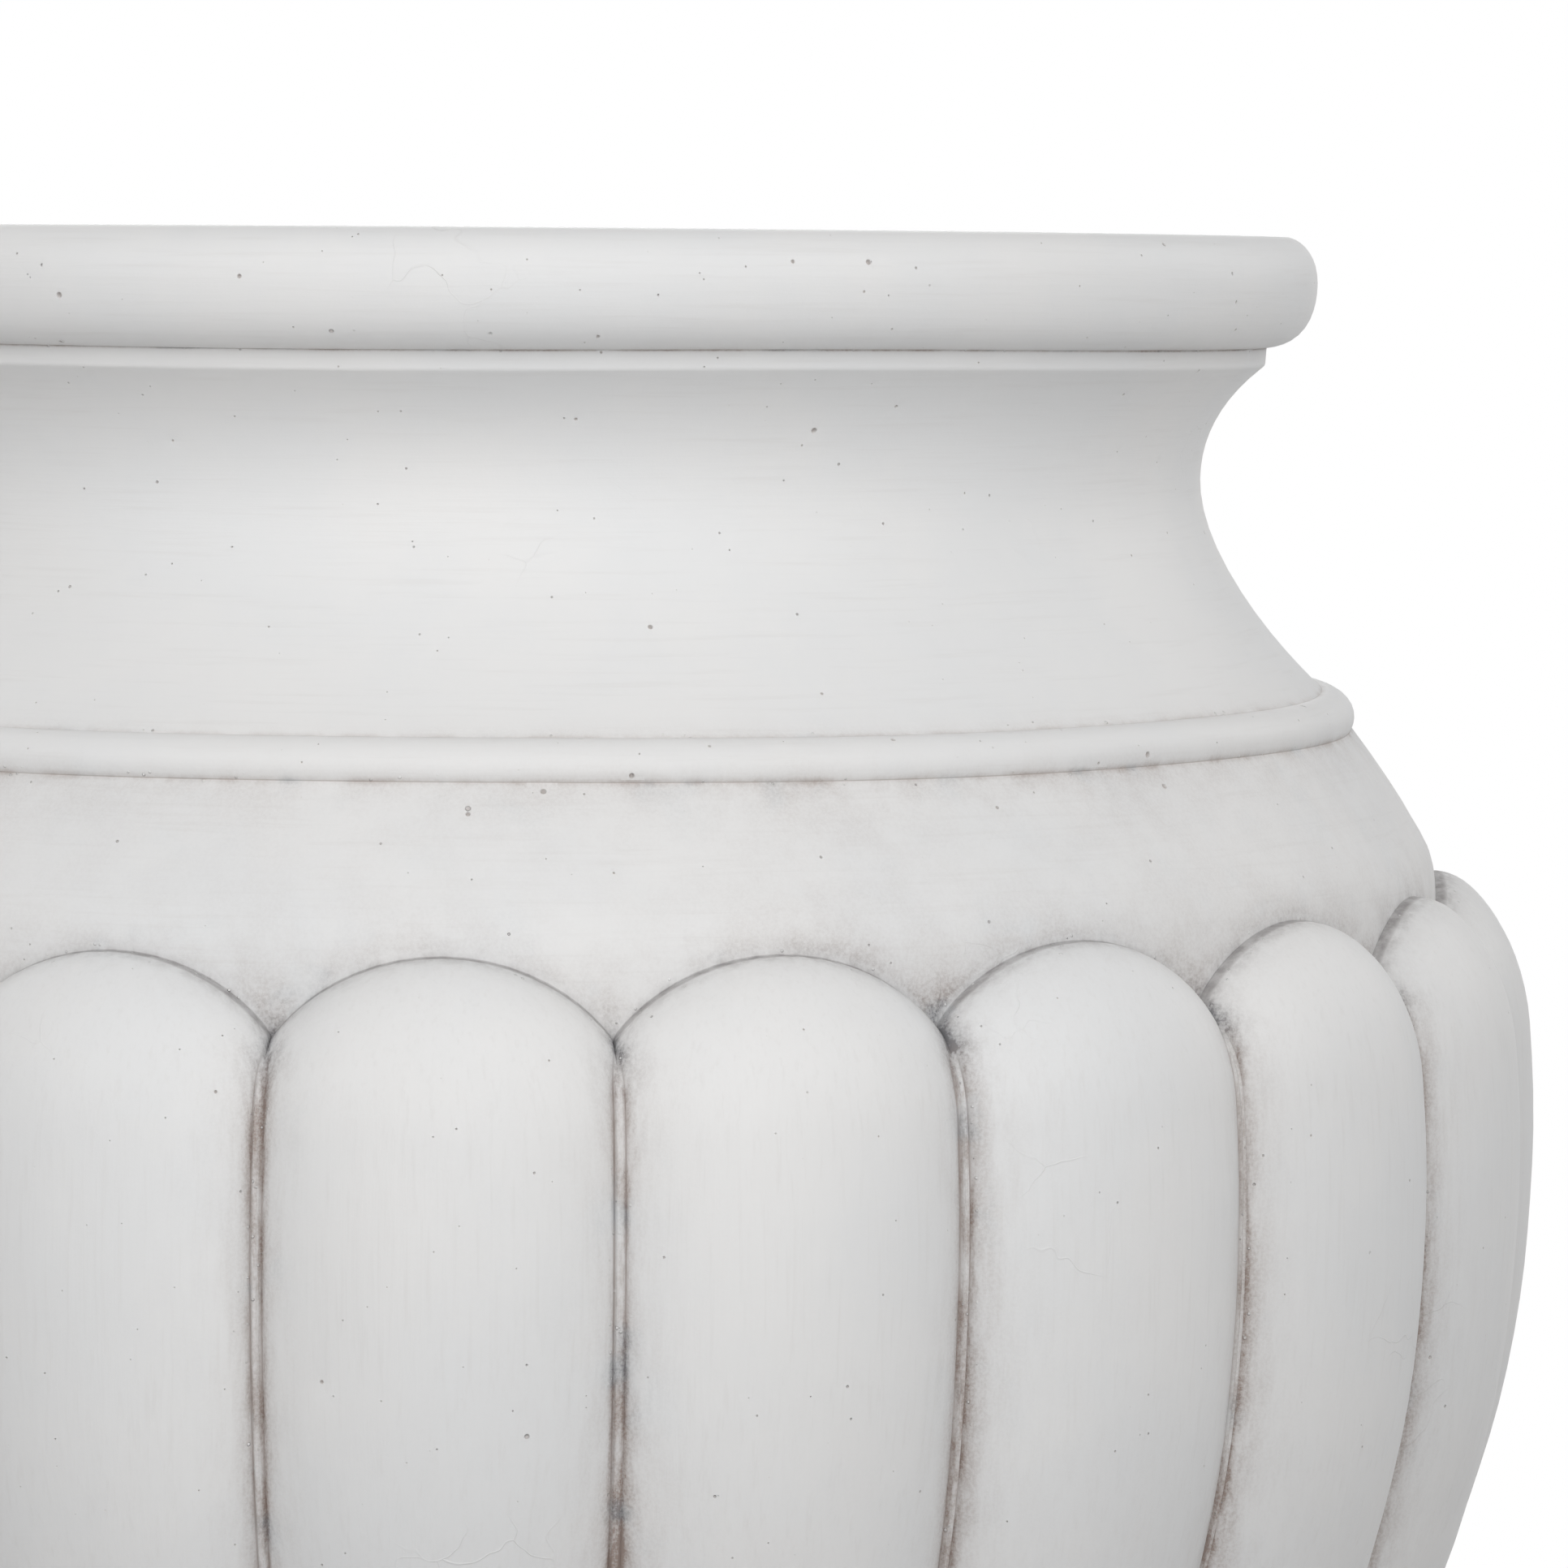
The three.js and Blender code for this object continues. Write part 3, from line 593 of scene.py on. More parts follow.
def pit_spots(rows):
    """Seeded (row, column, radius) of the modelled pinholes, none touching another."""
    random = np.random.default_rng(PIT_SEED)
    taken = set()
    spots = []
    for _ in range(PIT_TRIES):
        row = int(random.integers(PITLESS_TOP, len(rows) - PITLESS_FOOT))
        column = int(random.integers(0, COLUMNS))
        size, luck = random.uniform(0, 1, 2)
        points, masks = rows[row]
        crease = np.broadcast_to(masks["crease"], (COLUMNS,))[column]
        block = {(row + i, (column + j) % COLUMNS) for i in range(-2, 3) for j in range(-2, 3)}
        crowded = IN_STRIP[column] or crease < 1.5 or not block.isdisjoint(taken)
        if crowded or luck > pit_chance(points[column]):
            continue
        taken.add((row, column))
        spots.append((row, column, (LEAST_PIT + MOST_ABOVE_LEAST * size**3) * MM))
    return spots


def add_pit(rings, grid, rows, row, column, radius):
    """Replaces the four quads round one grid point by a round pinhole."""
    spots = [(row + i, (column + j) % COLUMNS) for i, j in PIT_LOOP]
    loop = [grid[r][c] for r, c in spots]
    around = np.array([rows[r][0][c] for r, c in spots])
    middle = rows[row][0][column]
    onward = around[3] - around[7]
    onward /= np.linalg.norm(onward)
    outward = np.cross(around[5] - around[1], onward)
    outward /= np.linalg.norm(outward)
    downward = np.cross(onward, outward)
    turn = np.array([(j, i) / np.hypot(i, j) for i, j in PIT_LOOP])
    circle = turn[:, :1] * onward + turn[:, 1:] * downward
    masks = rows[row][1]
    smudge = np.broadcast_to(masks["smudge"], (COLUMNS,))[column]
    depth = PIT_DEPTH * radius
    for share, sink, pit in PIT_RINGS:           # of the radius, of the depth, and the mask
        points = middle + circle * radius * share - outward * depth * sink
        inner = rings.add(points, smudge=smudge, lobe=masks.get("lobe", 0), pit=pit)
        for k in range(len(PIT_LOOP)):
            n = (k + 1) % len(PIT_LOOP)
            rings.faces.append([int(v) for v in (loop[k], inner[k], inner[n], loop[n])])
        loop = inner
    rings.faces.append([int(v) for v in loop[::-1]])


def make_bowl(material):
    rings = Rings()
    rows = outer_rows()
    grid = [rings.add(points, **masks) for points, masks in rows]
    spots = pit_spots(rows)
    skip = {}
    for row, column, _ in spots:
        for i in (-1, 0):
            for j in (-1, 0):
                skip.setdefault(row + i, set()).add((column + j) % COLUMNS)
    for row in range(len(grid) - 1):
        rings.join(grid[row], grid[row + 1], skip.get(row, ()))
    for spot in spots:
        add_pit(rings, grid, rows, *spot)
    _, angle = spread_columns(GROOVE_STRIP)
    coarse = angle[::2]
    under = [rings.add(on_ring(coarse, *spot), inside=1.0) for spot in underside_outline()]
    within = []
    for radius, height in inside_outline():
        points = on_ring(coarse, radius, height)
        edge = height + 0.02 * waves(points, 0.09, RAW_EDGE_SEED)
        within.append(rings.add(points, inside=smooth_step(TOP - 0.03, TOP - 0.08, edge)))
    rings.chain([grid[-1], *under, *within, grid[0]])
    bowl = rings.finish("bowl_casting")
    place(bowl, "urn_bowl", "urn", material)


# ------------------------------------------------------------------ the foot

FOOT_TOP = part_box("socle_foot")[1].z
PLINTH_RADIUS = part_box("socle_foot")[1].x
PLINTH_HEIGHT = 0.012
TORUS_RADIUS = 0.150
TORUS_HEIGHT = 0.017
SCOTIA_RADIUS = 0.092
FOOT_TOP_RADIUS = 0.116
FOOT_BAND = 0.008
FOOT_HOLLOW_RADIUS = 0.130
CEILING_RADIUS = 0.058               # of the flat at the hollow's top, where the gasket bears
CEILING_HEIGHT = 0.040
SOCKET_RADIUS = 0.0635               # in the foot's top, for the bowl's spigot
SOCKET_FLOOR = 0.061
NOTCH_HALF = 0.012
NOTCH_RISE = 0.008
NOTCH_SIDE = 0.002                   # straight part of a notch's sides
NOTCHES = 4


def foot_outside():
    """(radius, height, crease, smudge) from the top edge down to the floor."""
    band_foot = FOOT_TOP - FOOT_BAND
    torus_middle = PLINTH_HEIGHT + TORUS_HEIGHT / 2
    torus_x = TORUS_RADIUS - TORUS_HEIGHT / 2
    top = rounded([(SOCKET_RADIUS, FOOT_TOP),(FOOT_TOP_RADIUS, FOOT_TOP),
                   (FOOT_TOP_RADIUS, band_foot), (FOOT_TOP_RADIUS - 0.007, band_foot)], 0.0014)
    waist = (SCOTIA_RADIUS, 0.044)
    upper = bezier(top[-1], (0.096, band_foot - 0.001), (SCOTIA_RADIUS, 0.050), waist, 12)
    lower = bezier(waist, (SCOTIA_RADIUS, 0.036), (0.106, 0.030), (torus_x - 0.006, 0.029), 14)
    turn = np.linspace(math.pi / 2, -math.pi / 2, 19)
    torus = np.stack([torus_x + TORUS_HEIGHT / 2 * np.cos(turn),
                      torus_middle + TORUS_HEIGHT / 2 * np.sin(turn)], -1)
    plinth = rounded([(torus_x + 0.0015, PLINTH_HEIGHT), (PLINTH_RADIUS, PLINTH_HEIGHT),
                      (PLINTH_RADIUS, 0.0)], 0.0016, 5)
    side = np.linspace(plinth[-2], plinth[-1], 7)[1:]
    stretches = [top, upper, lower, torus, np.vstack([plinth[:-1], side])]
    outline, arc, ends = end_to_end(stretches)
    creases = ends[[0, 2, 3]]        # under the top band, and above and below the torus
    gap = np.min(np.abs(arc[:, None] - creases[None, :]), axis=1) / MM
    return np.column_stack([outline, gap, wash("foot_crease", gap)])


def foot_inside():
    """From the floor up through the hollow and the bolt hole to the spigot's socket."""
    floor, ceiling = (FOOT_HOLLOW_RADIUS, 0.0), (CEILING_RADIUS, CEILING_HEIGHT)
    hollow = bezier(floor, (0.126, 0.016), (0.076, 0.020), ceiling, 16)
    bolt = rounded([
        ceiling, (BOLT_HOLE_RADIUS, CEILING_HEIGHT), (BOLT_HOLE_RADIUS, SOCKET_FLOOR),
        (SOCKET_RADIUS, SOCKET_FLOOR), (SOCKET_RADIUS, FOOT_TOP), (0.066, FOOT_TOP),
    ], 0.0008, 2)
    return np.vstack([[floor], hollow, bolt[1:-1]])


def notch_columns():
    """Angles round the foot, closer at the notches' edges."""
    edge = math.asin(NOTCH_HALF / PLINTH_RADIUS)
    near = edge * np.array([0, 0.2, 0.4, 0.6, 0.78, 0.9, 0.97, 1.03])
    far = np.linspace(edge * 1.2, math.pi / NOTCHES, 30)
    half = np.concatenate([near, far])
    quarter = np.concatenate([-half[:0:-1], half])[:-1]
    return np.concatenate([quarter + k * TAU / NOTCHES for k in range(NOTCHES)]), quarter


def foot_ring(radius, height, outer):
    """One ring of the foot, lifted over the four notches that let the drained water out."""
    angles, quarter = notch_columns()
    local = np.tile(quarter, NOTCHES)
    edge = math.asin(NOTCH_HALF / PLINTH_RADIUS)
    stretch = math.asin(NOTCH_HALF / max(radius, 0.12)) / edge
    near_floor = 1 - smooth_step(PLINTH_HEIGHT, PLINTH_HEIGHT + 0.004, height)
    pull = (1 - smooth_step(edge * 1.03, math.radians(25), np.abs(local))) * near_floor
    shifted = local * (1 + (stretch - 1) * pull)
    across = np.abs(radius * np.sin(shifted)) / NOTCH_HALF
    arch = NOTCH_SIDE + (NOTCH_RISE - NOTCH_SIDE) * np.sqrt(np.clip(1 - across**2.6, 0, 1))
    arch = np.where((across < 1) & (radius > 0.1), arch, 0)
    if outer:
        squeezed = arch + height * (PLINTH_HEIGHT - arch) / PLINTH_HEIGHT
        level = np.where(height < PLINTH_HEIGHT, squeezed, height)
    else:
        level = np.maximum(height, arch)
    return on_ring(angles + shifted - local, radius, level)


def make_foot(material):
    rings = Rings()
    numbers = []
    for radius, height, crease, smudge in foot_outside():
        points = foot_ring(radius, height, True)
        numbers.append(rings.add(points, crease=crease, smudge=smudge * heavier_side(points)))
    for radius, height in foot_inside():
        numbers.append(rings.add(foot_ring(radius, height, False), inside=1.0))
    rings.chain(numbers + numbers[:1])
    foot = rings.finish("foot_casting")
    place(foot, "socle_foot", "urn", material)


# ------------------------------------------------------------------ drain fitting, stack and plug

HARDWARE_SIDES = 96
HARDWARE_ANGLES = np.arange(HARDWARE_SIDES) * TAU / HARDWARE_SIDES
ON_AXIS = 1e-5                       # the radius of a ring on the axis

TUBE_RADIUS = 0.015
TUBE_BORE = 0.0105
FLANGE_THICKNESS = 0.004
THREAD_TOP = 0.048
THREAD_PITCH = 0.0025
THREAD_DEPTH = 0.0011
THREAD_RINGS = 8                     # in each turn
NUT_BORE = 0.0153
NUT_COUNTERSINK = 0.0010
NUT_CHAMFER = math.radians(30)
PLUG_PROUD = 0.0146                  # how far the plug's head and knob stand up
PLUG_RADIUS = 0.0102
KNOB_NECK, KNOB_RADIUS = 0.004, 0.0075
RIBS, RIB_SPACING, RIB_TAPER = 3, 0.0032, 0.0002
RIB_DEPTH, RIB_HALF = 0.0006, 0.0009
FLAT_RINGS = {                       # inner radius, and rounding of the edges
    "seat_gasket": (0.066, 0.0007),
    "fitting_gasket": (0.016, 0.0006),
    "lower_gasket": (0.016, 0.0006),
    "lower_washer": (0.0155, 0.0005),
}


def turned(name, outline):
    """A solid from (radius, height) rings. Each may be one number, or one for every side.

    An outline that starts on the axis is capped at both ends, and another closes on itself.
    """
    rings = Rings()
    numbers = [rings.add(on_ring(HARDWARE_ANGLES, np.maximum(r, ON_AXIS), z)) for r, z in outline]
    if outline[0][0] > ON_AXIS:
        rings.chain(numbers + numbers[:1])
    else:
        rings.chain(numbers)
        rings.faces.append(numbers[0].tolist())
        rings.faces.append(numbers[-1].tolist()[::-1])
    return rings.finish(name)


def flat_ring(name, inner, outer, low, high, rounding):
    """A washer or gasket with rounded edges, going down its outside."""
    top, middle = ((inner + outer) / 2, high), (low + high) / 2
    corners = [
        top, (outer, high), (outer, middle), (outer, low), (inner, low), (inner, high), top,
    ]
    return turned(name, rounded(corners, rounding, 4)[:-1])


def make_fitting(material):
    """The flanged hollow bolt, with its thread cut in the tube's lower end."""
    low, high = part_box("drain_fitting")
    flange, under = high.x, high.z - FLANGE_THICKNESS
    root, thread_foot = TUBE_RADIUS - THREAD_DEPTH, low.z + 0.0025
    dish_edge = (0.013, high.z - 0.0001)
    dish = rounded([
        dish_edge, (0.016, high.z), (flange - 0.002, high.z - 0.001),
        (flange, high.z - 0.0025), (flange, under), (TUBE_RADIUS, under), (TUBE_RADIUS, 0.050),
    ], 0.0008, 4)
    foot = rounded([
        (root, thread_foot), (root, low.z), (TUBE_BORE, low.z), (TUBE_BORE, high.z), dish_edge,
    ], 0.0008, 4)
    thread = []
    steps = int((THREAD_TOP - thread_foot) / THREAD_PITCH * THREAD_RINGS)
    for height in np.linspace(THREAD_TOP, thread_foot, steps):
        turn = (height / THREAD_PITCH - HARDWARE_ANGLES / TAU) % 1
        ease = smooth_step(THREAD_TOP, THREAD_TOP - 0.004, height)
        thread.append((TUBE_RADIUS - THREAD_DEPTH * np.abs(2 * turn - 1) * ease, height))
    fitting = turned("drain_fitting_turned", [*dish[:-1], *thread, *foot[1:-1]])
    place(fitting, "drain_fitting", "urn", material)


def make_nut(material):
    """Hexagon nut, chamfered at both faces and countersunk at its bore."""
    low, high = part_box("lower_nut")
    flats = high.x * math.cos(math.pi / 6)
    around = (HARDWARE_ANGLES + math.pi / 6) % (math.pi / 3) - math.pi / 6
    hexagon = flats / np.cos(around)
    cone = flats - 0.0004
    fall = np.maximum(hexagon - cone, 0) * math.tan(NUT_CHAMFER)
    half = [                         # radius, and distance in from the face
        (NUT_BORE + NUT_COUNTERSINK, 0), (cone - 0.0006, 0), (cone, 0.00008),
        (hexagon - 0.0001, fall), (hexagon, fall + 0.0003),
    ]
    outline = [(radius, high.z - inward) for radius, inward in half]
    outline += [(radius, low.z + inward) for radius, inward in half[::-1]]
    outline += [(NUT_BORE, low.z + NUT_COUNTERSINK), (NUT_BORE, high.z - NUT_COUNTERSINK)]
    place(turned("lower_nut_chamfered", outline), "lower_nut", "urn", material)


def make_plug(material):
    """Tapered rubber plug with sealing ribs, a flat head and a waisted knob."""
    low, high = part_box("drain_plug")
    head, seat = high.x, high.z - PLUG_PROUD
    knob_foot, knob_top = (KNOB_NECK, seat + 0.006), (KNOB_RADIUS, seat + 0.012)
    knob = bezier(knob_foot, (KNOB_NECK, seat + 0.009), (KNOB_RADIUS, seat + 0.009), knob_top, 8)
    cap = rounded([(0.0, high.z), (0.006, high.z - 0.0006), knob_top], 0.0012, 4)
    top = rounded([
        knob_foot, (0.0046, seat + 0.0045), (head - 0.0015, seat + 0.004), (head, seat + 0.0025),
        (head, seat), (PLUG_RADIUS, seat), (PLUG_RADIUS - 0.0004, seat - 0.004),
    ], 0.0006, 3)
    ribs = []
    for k in range(RIBS):
        level = seat - 0.005 - RIB_SPACING * k
        radius = PLUG_RADIUS - RIB_TAPER * (k + 1)
        root = radius - RIB_DEPTH
        ribs += [(root, level + RIB_HALF), (radius, level), (root, level - RIB_HALF)]
    foot = rounded([
        ribs[-1], (PLUG_RADIUS - 0.0018, low.z + 0.001), (0.0075, low.z), (0.0, low.z),
    ], 0.0008, 3)
    outline = np.vstack([cap[:-1], knob[::-1], top[:-1], rounded(ribs, 0.0004, 3), foot[1:]])
    plug = turned("drain_plug_moulded", outline)
    place(plug, "drain_plug", "plug", material)


def make_rings(rubber, steel):
    for node, (inner, rounding) in FLAT_RINGS.items():
        low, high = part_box(node)
        ring = flat_ring(node + "_ring", inner, high.x, low.z, high.z, rounding)
        place(ring, node, "urn", steel if node == "lower_washer" else rubber)


# ------------------------------------------------------------------ materials

class Nodes:
    """Short names for the nodes of one tree."""

    def __init__(self, tree):
        self.tree = tree
        tree.nodes.clear()

    def node(self, kind, **settings):
        made = self.tree.nodes.new("ShaderNode" + kind)
        for name, value in settings.items():
            setattr(made, name, value)
        return made

    def feed(self, socket, value):
        if isinstance(value, bpy.types.NodeSocket):
            self.tree.links.new(value, socket)
        else:
            socket.default_value = value

    def math(self, operation, *values):
        made = self.node("Math", operation=operation)
        for socket, value in zip(made.inputs, values):
            self.feed(socket, value)
        return made.outputs[0]

    def mix(self, factor, first, second):
        made = self.node("Mix", data_type="RGBA")
        self.feed(made.inputs["Factor"], factor)
        for socket, colour in ((made.inputs[6], first), (made.inputs[7], second)):
            self.feed(socket, colour if isinstance(colour, bpy.types.NodeSocket) else (*colour, 1))
        return made.outputs[2]


class Shader(Nodes):
    """One material, with its surface and the place on the object that its textures read."""

    def __init__(self, name):
        self.material = bpy.data.materials.new(name)
        self.material.use_nodes = True
        super().__init__(self.material.node_tree)
        self.output = self.node("OutputMaterial")
        self.surface = self.node("BsdfPrincipled")
        self.tree.links.new(self.surface.outputs[0], self.output.inputs["Surface"])
        self.place = self.node("TexCoord").outputs["Object"]

    def set(self, **sockets):
        for name, value in sockets.items():
            self.feed(self.surface.inputs[name.replace("_", " ")], value)

    def times(self, *values):
        product = values[0]
        for value in values[1:]:
            product = self.math("MULTIPLY", product, value)
        return product

    def plus(self, *values):
        total = values[0]
        for value in values[1:]:
            total = self.math("ADD", total, value)
        return total

    def mask(self, name):
        return self.node("Attribute", attribute_name=name).outputs["Fac"]

    def scaled(self, x, y, z):
        made = self.node("VectorMath", operation="MULTIPLY")
        self.feed(made.inputs[0], self.place)
        made.inputs[1].default_value = (x, y, z)
        return made.outputs[0]

    def noise(self, scale, detail=3.0, roughness=0.5, place=None):
        made = self.node("TexNoise")
        self.feed(made.inputs["Vector"], place or self.place)
        made.inputs["Scale"].default_value = scale
        made.inputs["Detail"].default_value = detail
        made.inputs["Roughness"].default_value = roughness
        return made.outputs["Fac"]

    def bent(self, scale, reach):
        """The place on the object, moved about by up to about reach metres."""
        noise = self.node("TexNoise")
        self.feed(noise.inputs["Vector"], self.place)
        noise.inputs["Scale"].default_value = scale
        made = self.node("VectorMath", operation="MULTIPLY_ADD")
        self.feed(made.inputs[0], noise.outputs["Color"])
        made.inputs[1].default_value = (2 * reach, 2 * reach, 2 * reach)
        self.feed(made.inputs[2], self.place)
        return made.outputs[0]

    def cells(self, scale, feature="F1", place=None):
        made = self.node("TexVoronoi", feature=feature)
        self.feed(made.inputs["Vector"], place or self.place)
        made.inputs["Scale"].default_value = scale
        return made

    def step(self, value, low, high, to_low=0.0, to_high=1.0):
        """Runs smoothly from to_low to to_high as value goes from low to high."""
        made = self.node("MapRange", interpolation_type="SMOOTHSTEP")
        for socket, number in zip(made.inputs, (value, low, high, to_low, to_high)):
            self.feed(socket, number)
        return made.outputs[0]

    def bump(self, height):
        """Raises the surface by height, in millimetres, in its shading alone."""
        made = self.node("Bump")
        made.inputs["Strength"].default_value = 1.0
        made.inputs["Distance"].default_value = MM
        self.feed(made.inputs["Height"], height)
        self.feed(self.surface.inputs["Normal"], made.outputs[0])


PAINT = (0.757, 0.752, 0.745)
PAINT_COOL = (0.732, 0.735, 0.736)
PAINT_SHADE = (0.63, 0.615, 0.60)    # in the brush marks
PATINA = (0.285, 0.222, 0.192)
PATINA_COOL = (0.190, 0.190, 0.200)
PAINT_BRIGHT = (0.80, 0.795, 0.785)
RAW_CAST = (0.40, 0.375, 0.34)
RAW_DAMP = (0.30, 0.28, 0.255)


def pinholes(s, scale, share, radius):
    """1 inside small round holes, one in some of the cells of a random grid."""
    cells = s.cells(scale)
    pick = s.node("SeparateColor")
    s.feed(pick.inputs[0], cells.outputs["Color"])
    size = s.math("MULTIPLY_ADD", pick.outputs[1], radius * scale * 0.8, radius * scale * 0.4)
    inside = s.math("SUBTRACT", 1.0, s.math("DIVIDE", cells.outputs["Distance"], size))
    chosen = s.math("LESS_THAN", pick.outputs[0], share)
    return s.times(s.step(inside, 0.0, 0.45), chosen)


def painted_stone(name):
    """Off-white paint brushed on cast stone and antiqued brown-grey in the creases."""
    s = Shader(name)
    crease, smudge, lobe = s.mask("crease"), s.mask("smudge"), s.mask("lobe")
    pit, inside, cool = s.mask("pit"), s.mask("inside"), s.mask("cool")

    level = s.noise(1.0, 3.0, 0.6, s.scaled(22, 22, 620))
    upright = s.noise(1.0, 3.0, 0.6, s.scaled(620, 620, 22))
    brush = s.plus(s.times(level, s.math("SUBTRACT", 1.0, lobe)), s.times(upright, lobe))
    cloud = s.noise(11, 5, 0.6)
    grain = s.noise(1500, 2, 0.6)
    swell = s.noise(42, 3, 0.5)

    spots = s.noise(75, 7, 0.66)
    drawn_down = s.noise(1.0, 6, 0.64, s.scaled(230, 230, 46))
    rubbing = s.plus(s.times(spots, s.math("SUBTRACT", 1.0, lobe)), s.times(drawn_down, lobe))
    clump = s.step(rubbing, 0.34, 0.66)
    stipple = s.step(s.noise(1100, 3, 0.7), 0.36, 0.66)
    long_clump = s.step(s.noise(24, 3, 0.5), 0.35, 0.65)
    spread = s.times(smudge, s.plus(0.34, s.times(clump, 0.70), s.times(long_clump, 0.35)))
    rubbed = s.times(spread, s.plus(0.68, s.times(stipple, 0.5)))
    line = s.times(s.step(crease, 0.12, 0.62, 1.0, 0.0), s.plus(0.50, s.times(clump, 0.30)))
    near = s.times(s.step(crease, 0.2, 2.0, 1.0, 0.0), s.plus(0.05, s.times(clump, 0.20)))
    holes = s.math("MAXIMUM", pinholes(s, 105, 0.7, 0.00042), pinholes(s, 48, 0.4, 0.0008))
    fine_holes = s.times(pinholes(s, 170, 0.95, 0.00030), s.step(s.noise(17, 2, 0.5), 0.42, 0.54))
    holes = s.math("MAXIMUM", holes, fine_holes)
    ridges = s.cells(46, "DISTANCE_TO_EDGE", s.bent(55, 0.012)).outputs["Distance"]
    flaked = s.times(s.step(ridges, 0.0, 0.015, 1.0, 0.0),
                     s.step(s.noise(12, 2, 0.5), 0.63, 0.69))
    dark = s.math("MAXIMUM", s.plus(rubbed, near), line)
    # Pinholes and modelled pits take the wash colour: painted shade inside the holes, with some
    # patina settled in them.
    sunk = s.math("MAXIMUM", s.times(holes, 0.46), s.times(pit, 0.50))
    dark = s.math("MAXIMUM", dark, s.math("MAXIMUM", sunk, s.times(flaked, 0.05)))
    dark = s.math("MINIMUM", dark, 0.95)

    specks = s.times(pinholes(s, 420, 0.8, 0.0005), s.step(crease, 0.8, 2.4, 1.0, 0.0),
                     s.step(s.noise(60, 2, 0.5), 0.45, 0.57))
    paint = s.mix(s.step(cloud, 0.35, 0.65), PAINT, PAINT_COOL)
    streaked = s.mix(s.step(brush, 0.50, 0.78, 0.0, 0.22), paint, PAINT_SHADE)
    cooler = s.math("MAXIMUM", s.step(s.noise(55, 3, 0.55), 0.52, 0.72), cool)
    wash = s.mix(cooler, PATINA, PATINA_COOL)
    antiqued = s.mix(dark, streaked, wash)
    antiqued = s.mix(s.times(specks, 0.8), antiqued, PAINT_BRIGHT)
    raw = s.mix(s.step(s.noise(36, 8, 0.65), 0.3, 0.7), RAW_CAST, RAW_DAMP)
    colour = s.mix(inside, antiqued, raw)

    height = s.plus(
        s.times(brush, 0.06), s.times(grain, 0.012), s.times(swell, 0.16),
        s.times(holes, -0.45), s.times(specks, 0.45), s.times(flaked, 0.08),
        s.times(s.noise(260, 5, 0.7), s.plus(0.03, s.times(inside, 0.5), s.times(smudge, 0.10))),
    )
    rough = s.plus(0.47, s.times(dark, 0.25), s.times(inside, 0.3), s.times(cloud, 0.10))
    s.set(Base_Color=colour, Roughness=s.math("MINIMUM", rough, 0.95))
    s.surface.inputs["Specular IOR Level"].default_value = 0.42
    s.bump(height)
    return s.material


def black_rubber(name, dusty):
    s = Shader(name)
    cloud = s.noise(90, 6, 0.65)
    dust = s.step(cloud, 0.45, 0.75, 0.0, dusty)
    s.set(
        Base_Color=s.mix(dust, (0.022, 0.022, 0.023), (0.19, 0.175, 0.155)),
        Roughness=s.step(cloud, 0.3, 0.7, 0.55, 0.8),
    )
    height = s.plus(s.times(s.noise(2600, 2, 0.6), 0.02), s.times(cloud, 0.05))
    s.bump(height)
    return s.material


def dull_brass(name):
    s = Shader(name)
    tarnish = s.step(s.noise(130, 7, 0.7), 0.42, 0.7)
    turning = s.noise(1.0, 2.0, 0.5, s.scaled(60, 60, 5200))
    s.set(
        Base_Color=s.mix(tarnish, (0.60, 0.43, 0.18), (0.27, 0.19, 0.095)),
        Roughness=s.plus(0.27, s.times(tarnish, 0.3), s.times(turning, 0.06)),
    )
    s.surface.inputs["Metallic"].default_value = 1.0
    height = s.plus(s.times(turning, 0.012), s.times(tarnish, 0.012))
    s.bump(height)
    return s.material


def zinc_steel(name):
    s = Shader(name)
    spangle = s.cells(420).outputs["Color"]
    split = s.node("SeparateColor")
    s.feed(split.inputs[0], spangle)
    stain = s.step(s.noise(110, 6, 0.7), 0.52, 0.74)
    base = s.mix(split.outputs[0], (0.50, 0.51, 0.53), (0.64, 0.65, 0.66))
    s.set(
        Base_Color=s.mix(s.times(stain, 0.7), base, (0.27, 0.20, 0.14)),
        Roughness=s.plus(0.30, s.times(split.outputs[1], 0.12), s.times(stain, 0.3)),
    )
    s.surface.inputs["Metallic"].default_value = 1.0
    height = s.plus(s.times(s.noise(900, 3, 0.6), 0.015), s.times(stain, 0.03))
    s.bump(height)
    return s.material


# ------------------------------------------------------------------ floor, world and lights

FLOOR_RADIUS = 14.0
FLOOR_SIDES = 128
FLOOR_SHADOW_REACH = (0.45, 1.0)     # the floor turns from lit to plain white over this radius
FLOOR_PALE = (0.90, 0.895, 0.885)
FLOOR_BOUNCE = (0.45, 0.45, 0.45)    # what the floor throws back at the urn
AMBIENT = (0.25, 0.25, 0.252)
SOFTBOX_DISTANCE = 1.6
SOFTBOX_WIDTH = 0.9
SOFTBOX_AIM = 0.55                   # the height that the lights are turned to
SOFTBOXES = {                        # degrees to the camera's right, degrees up, height, watts
    "front_level": (4, 3, 0.7, 5.1),
    "front_raised": (4, 30, 0.7, 4.0),
    "left": (-45, 20, 0.9, 6.1),
    "right": (45, 20, 0.9, 5.5),
    "right_back": (112, 22, 0.9, 3.6),
    "left_back": (-128, 25, 0.9, 5.0),
    "back": (180, 25, 0.9, 5.5),
}


def seen_directly(s):
    """1 for camera, glossy and transmission rays, which see the white background."""
    path = s.node("LightPath")
    seen = s.math("MAXIMUM", path.outputs["Is Camera Ray"], path.outputs["Is Glossy Ray"])
    return s.math("MAXIMUM", seen, path.outputs["Is Transmission Ray"])


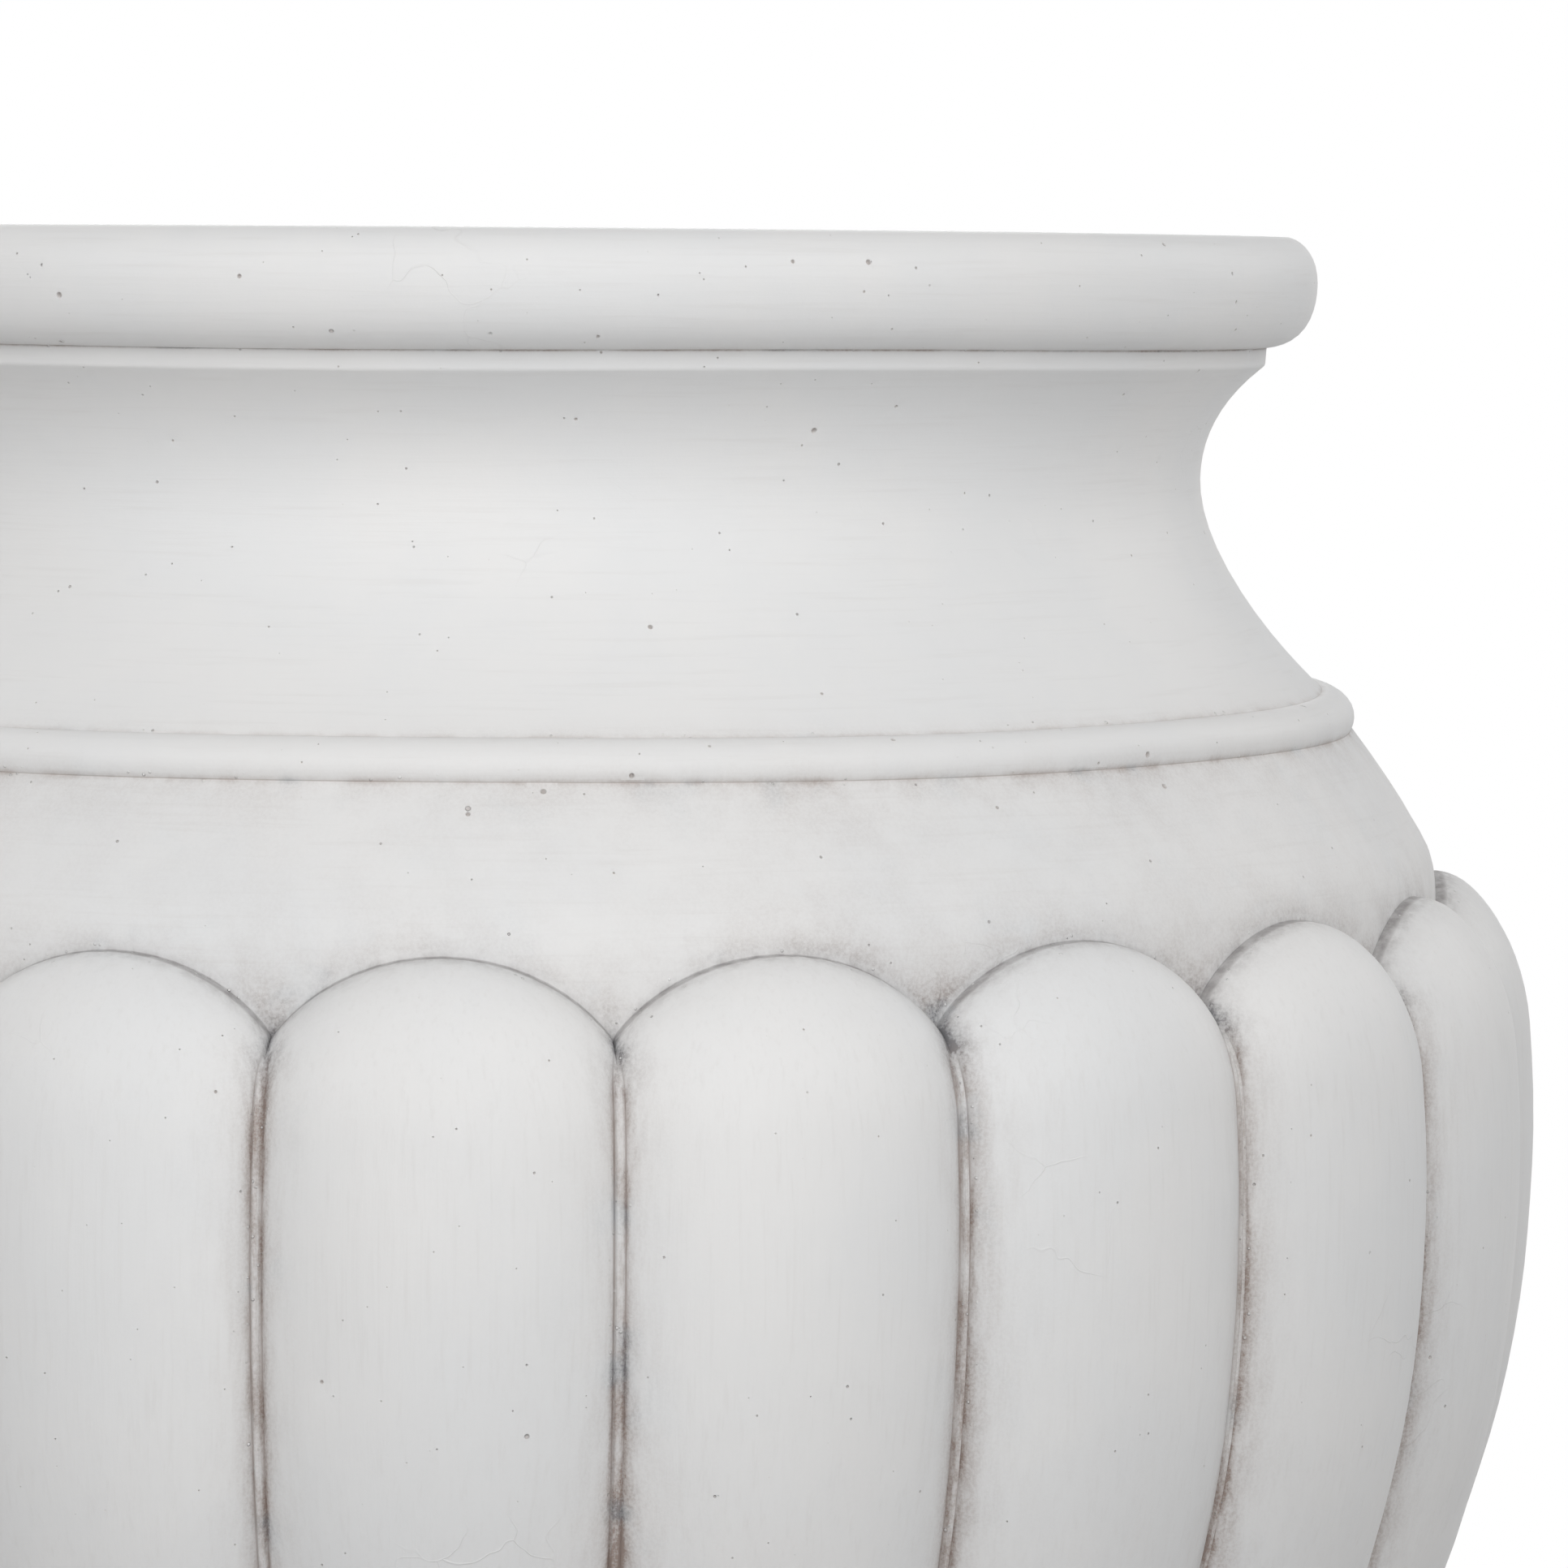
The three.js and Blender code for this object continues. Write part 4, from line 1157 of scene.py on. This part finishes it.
def make_floor():
    """A pale floor that throws little light back up, and is plain white further out."""
    s = Shader("floor_pale")
    s.set(Base_Color=s.mix(seen_directly(s), FLOOR_BOUNCE, FLOOR_PALE), Roughness=0.7)
    white = s.node("Emission")
    reach = s.node("VectorMath", operation="LENGTH")
    s.feed(reach.inputs[0], s.place)
    far = s.step(reach.outputs["Value"], *FLOOR_SHADOW_REACH)
    both = s.node("MixShader")
    s.feed(both.inputs[0], s.times(far, seen_directly(s)))
    s.feed(both.inputs[1], s.surface.outputs[0])
    s.feed(both.inputs[2], white.outputs[0])
    s.feed(s.output.inputs["Surface"], both.outputs[0])
    angles = np.arange(FLOOR_SIDES) * TAU / FLOOR_SIDES
    mesh = bpy.data.meshes.new("floor")
    mesh.from_pydata(on_ring(angles, FLOOR_RADIUS, 0.0).tolist(), [], [list(range(FLOOR_SIDES))])
    floor = bpy.data.objects.new("floor", mesh)
    bpy.context.scene.collection.objects.link(floor)
    mesh.materials.append(s.material)


def make_world():
    world = bpy.data.worlds.new("studio")
    bpy.context.scene.world = world
    world.use_nodes = True
    n = Nodes(world.node_tree)
    background, output = n.node("Background"), n.node("OutputWorld")
    n.feed(background.inputs["Color"], n.mix(seen_directly(n), AMBIENT, (1, 1, 1)))
    n.feed(output.inputs["Surface"], background.outputs[0])


def softbox(name, around, rise, tall, watts):
    """A large soft light aimed at the bowl. around is in degrees to the right of the camera."""
    data = bpy.data.lights.new(name, "AREA")
    data.shape = "RECTANGLE"
    data.size, data.size_y = SOFTBOX_WIDTH, tall
    data.energy = watts
    light = bpy.data.objects.new(name, data)
    light.visible_camera = False
    turn = CAMERA_AROUND + math.radians(around)
    lift = math.radians(rise)
    back = Vector((math.sin(turn) * math.cos(lift), -math.cos(turn) * math.cos(lift),
                   math.sin(lift)))
    light.location = Vector((0, 0, SOFTBOX_AIM)) + back * SOFTBOX_DISTANCE
    light.rotation_mode = "QUATERNION"
    light.rotation_quaternion = back.to_track_quat("Z", "Y")
    bpy.context.scene.collection.objects.link(light)


def make_lights():
    for name, settings in SOFTBOXES.items():
        softbox(name, *settings)


# ------------------------------------------------------------------ scene

bpy.context.scene.view_settings.view_transform = "Standard"
make_camera()
make_floor()
make_world()
make_lights()

stone = painted_stone("painted_stone")
rubber = black_rubber("gasket_black", 0.25)
steel = zinc_steel("zinc_plated")
make_bowl(stone)
make_foot(stone)
make_fitting(dull_brass("dull_brass"))
make_nut(steel)
make_rings(rubber, steel)
make_plug(black_rubber("plug_black", 0.4))
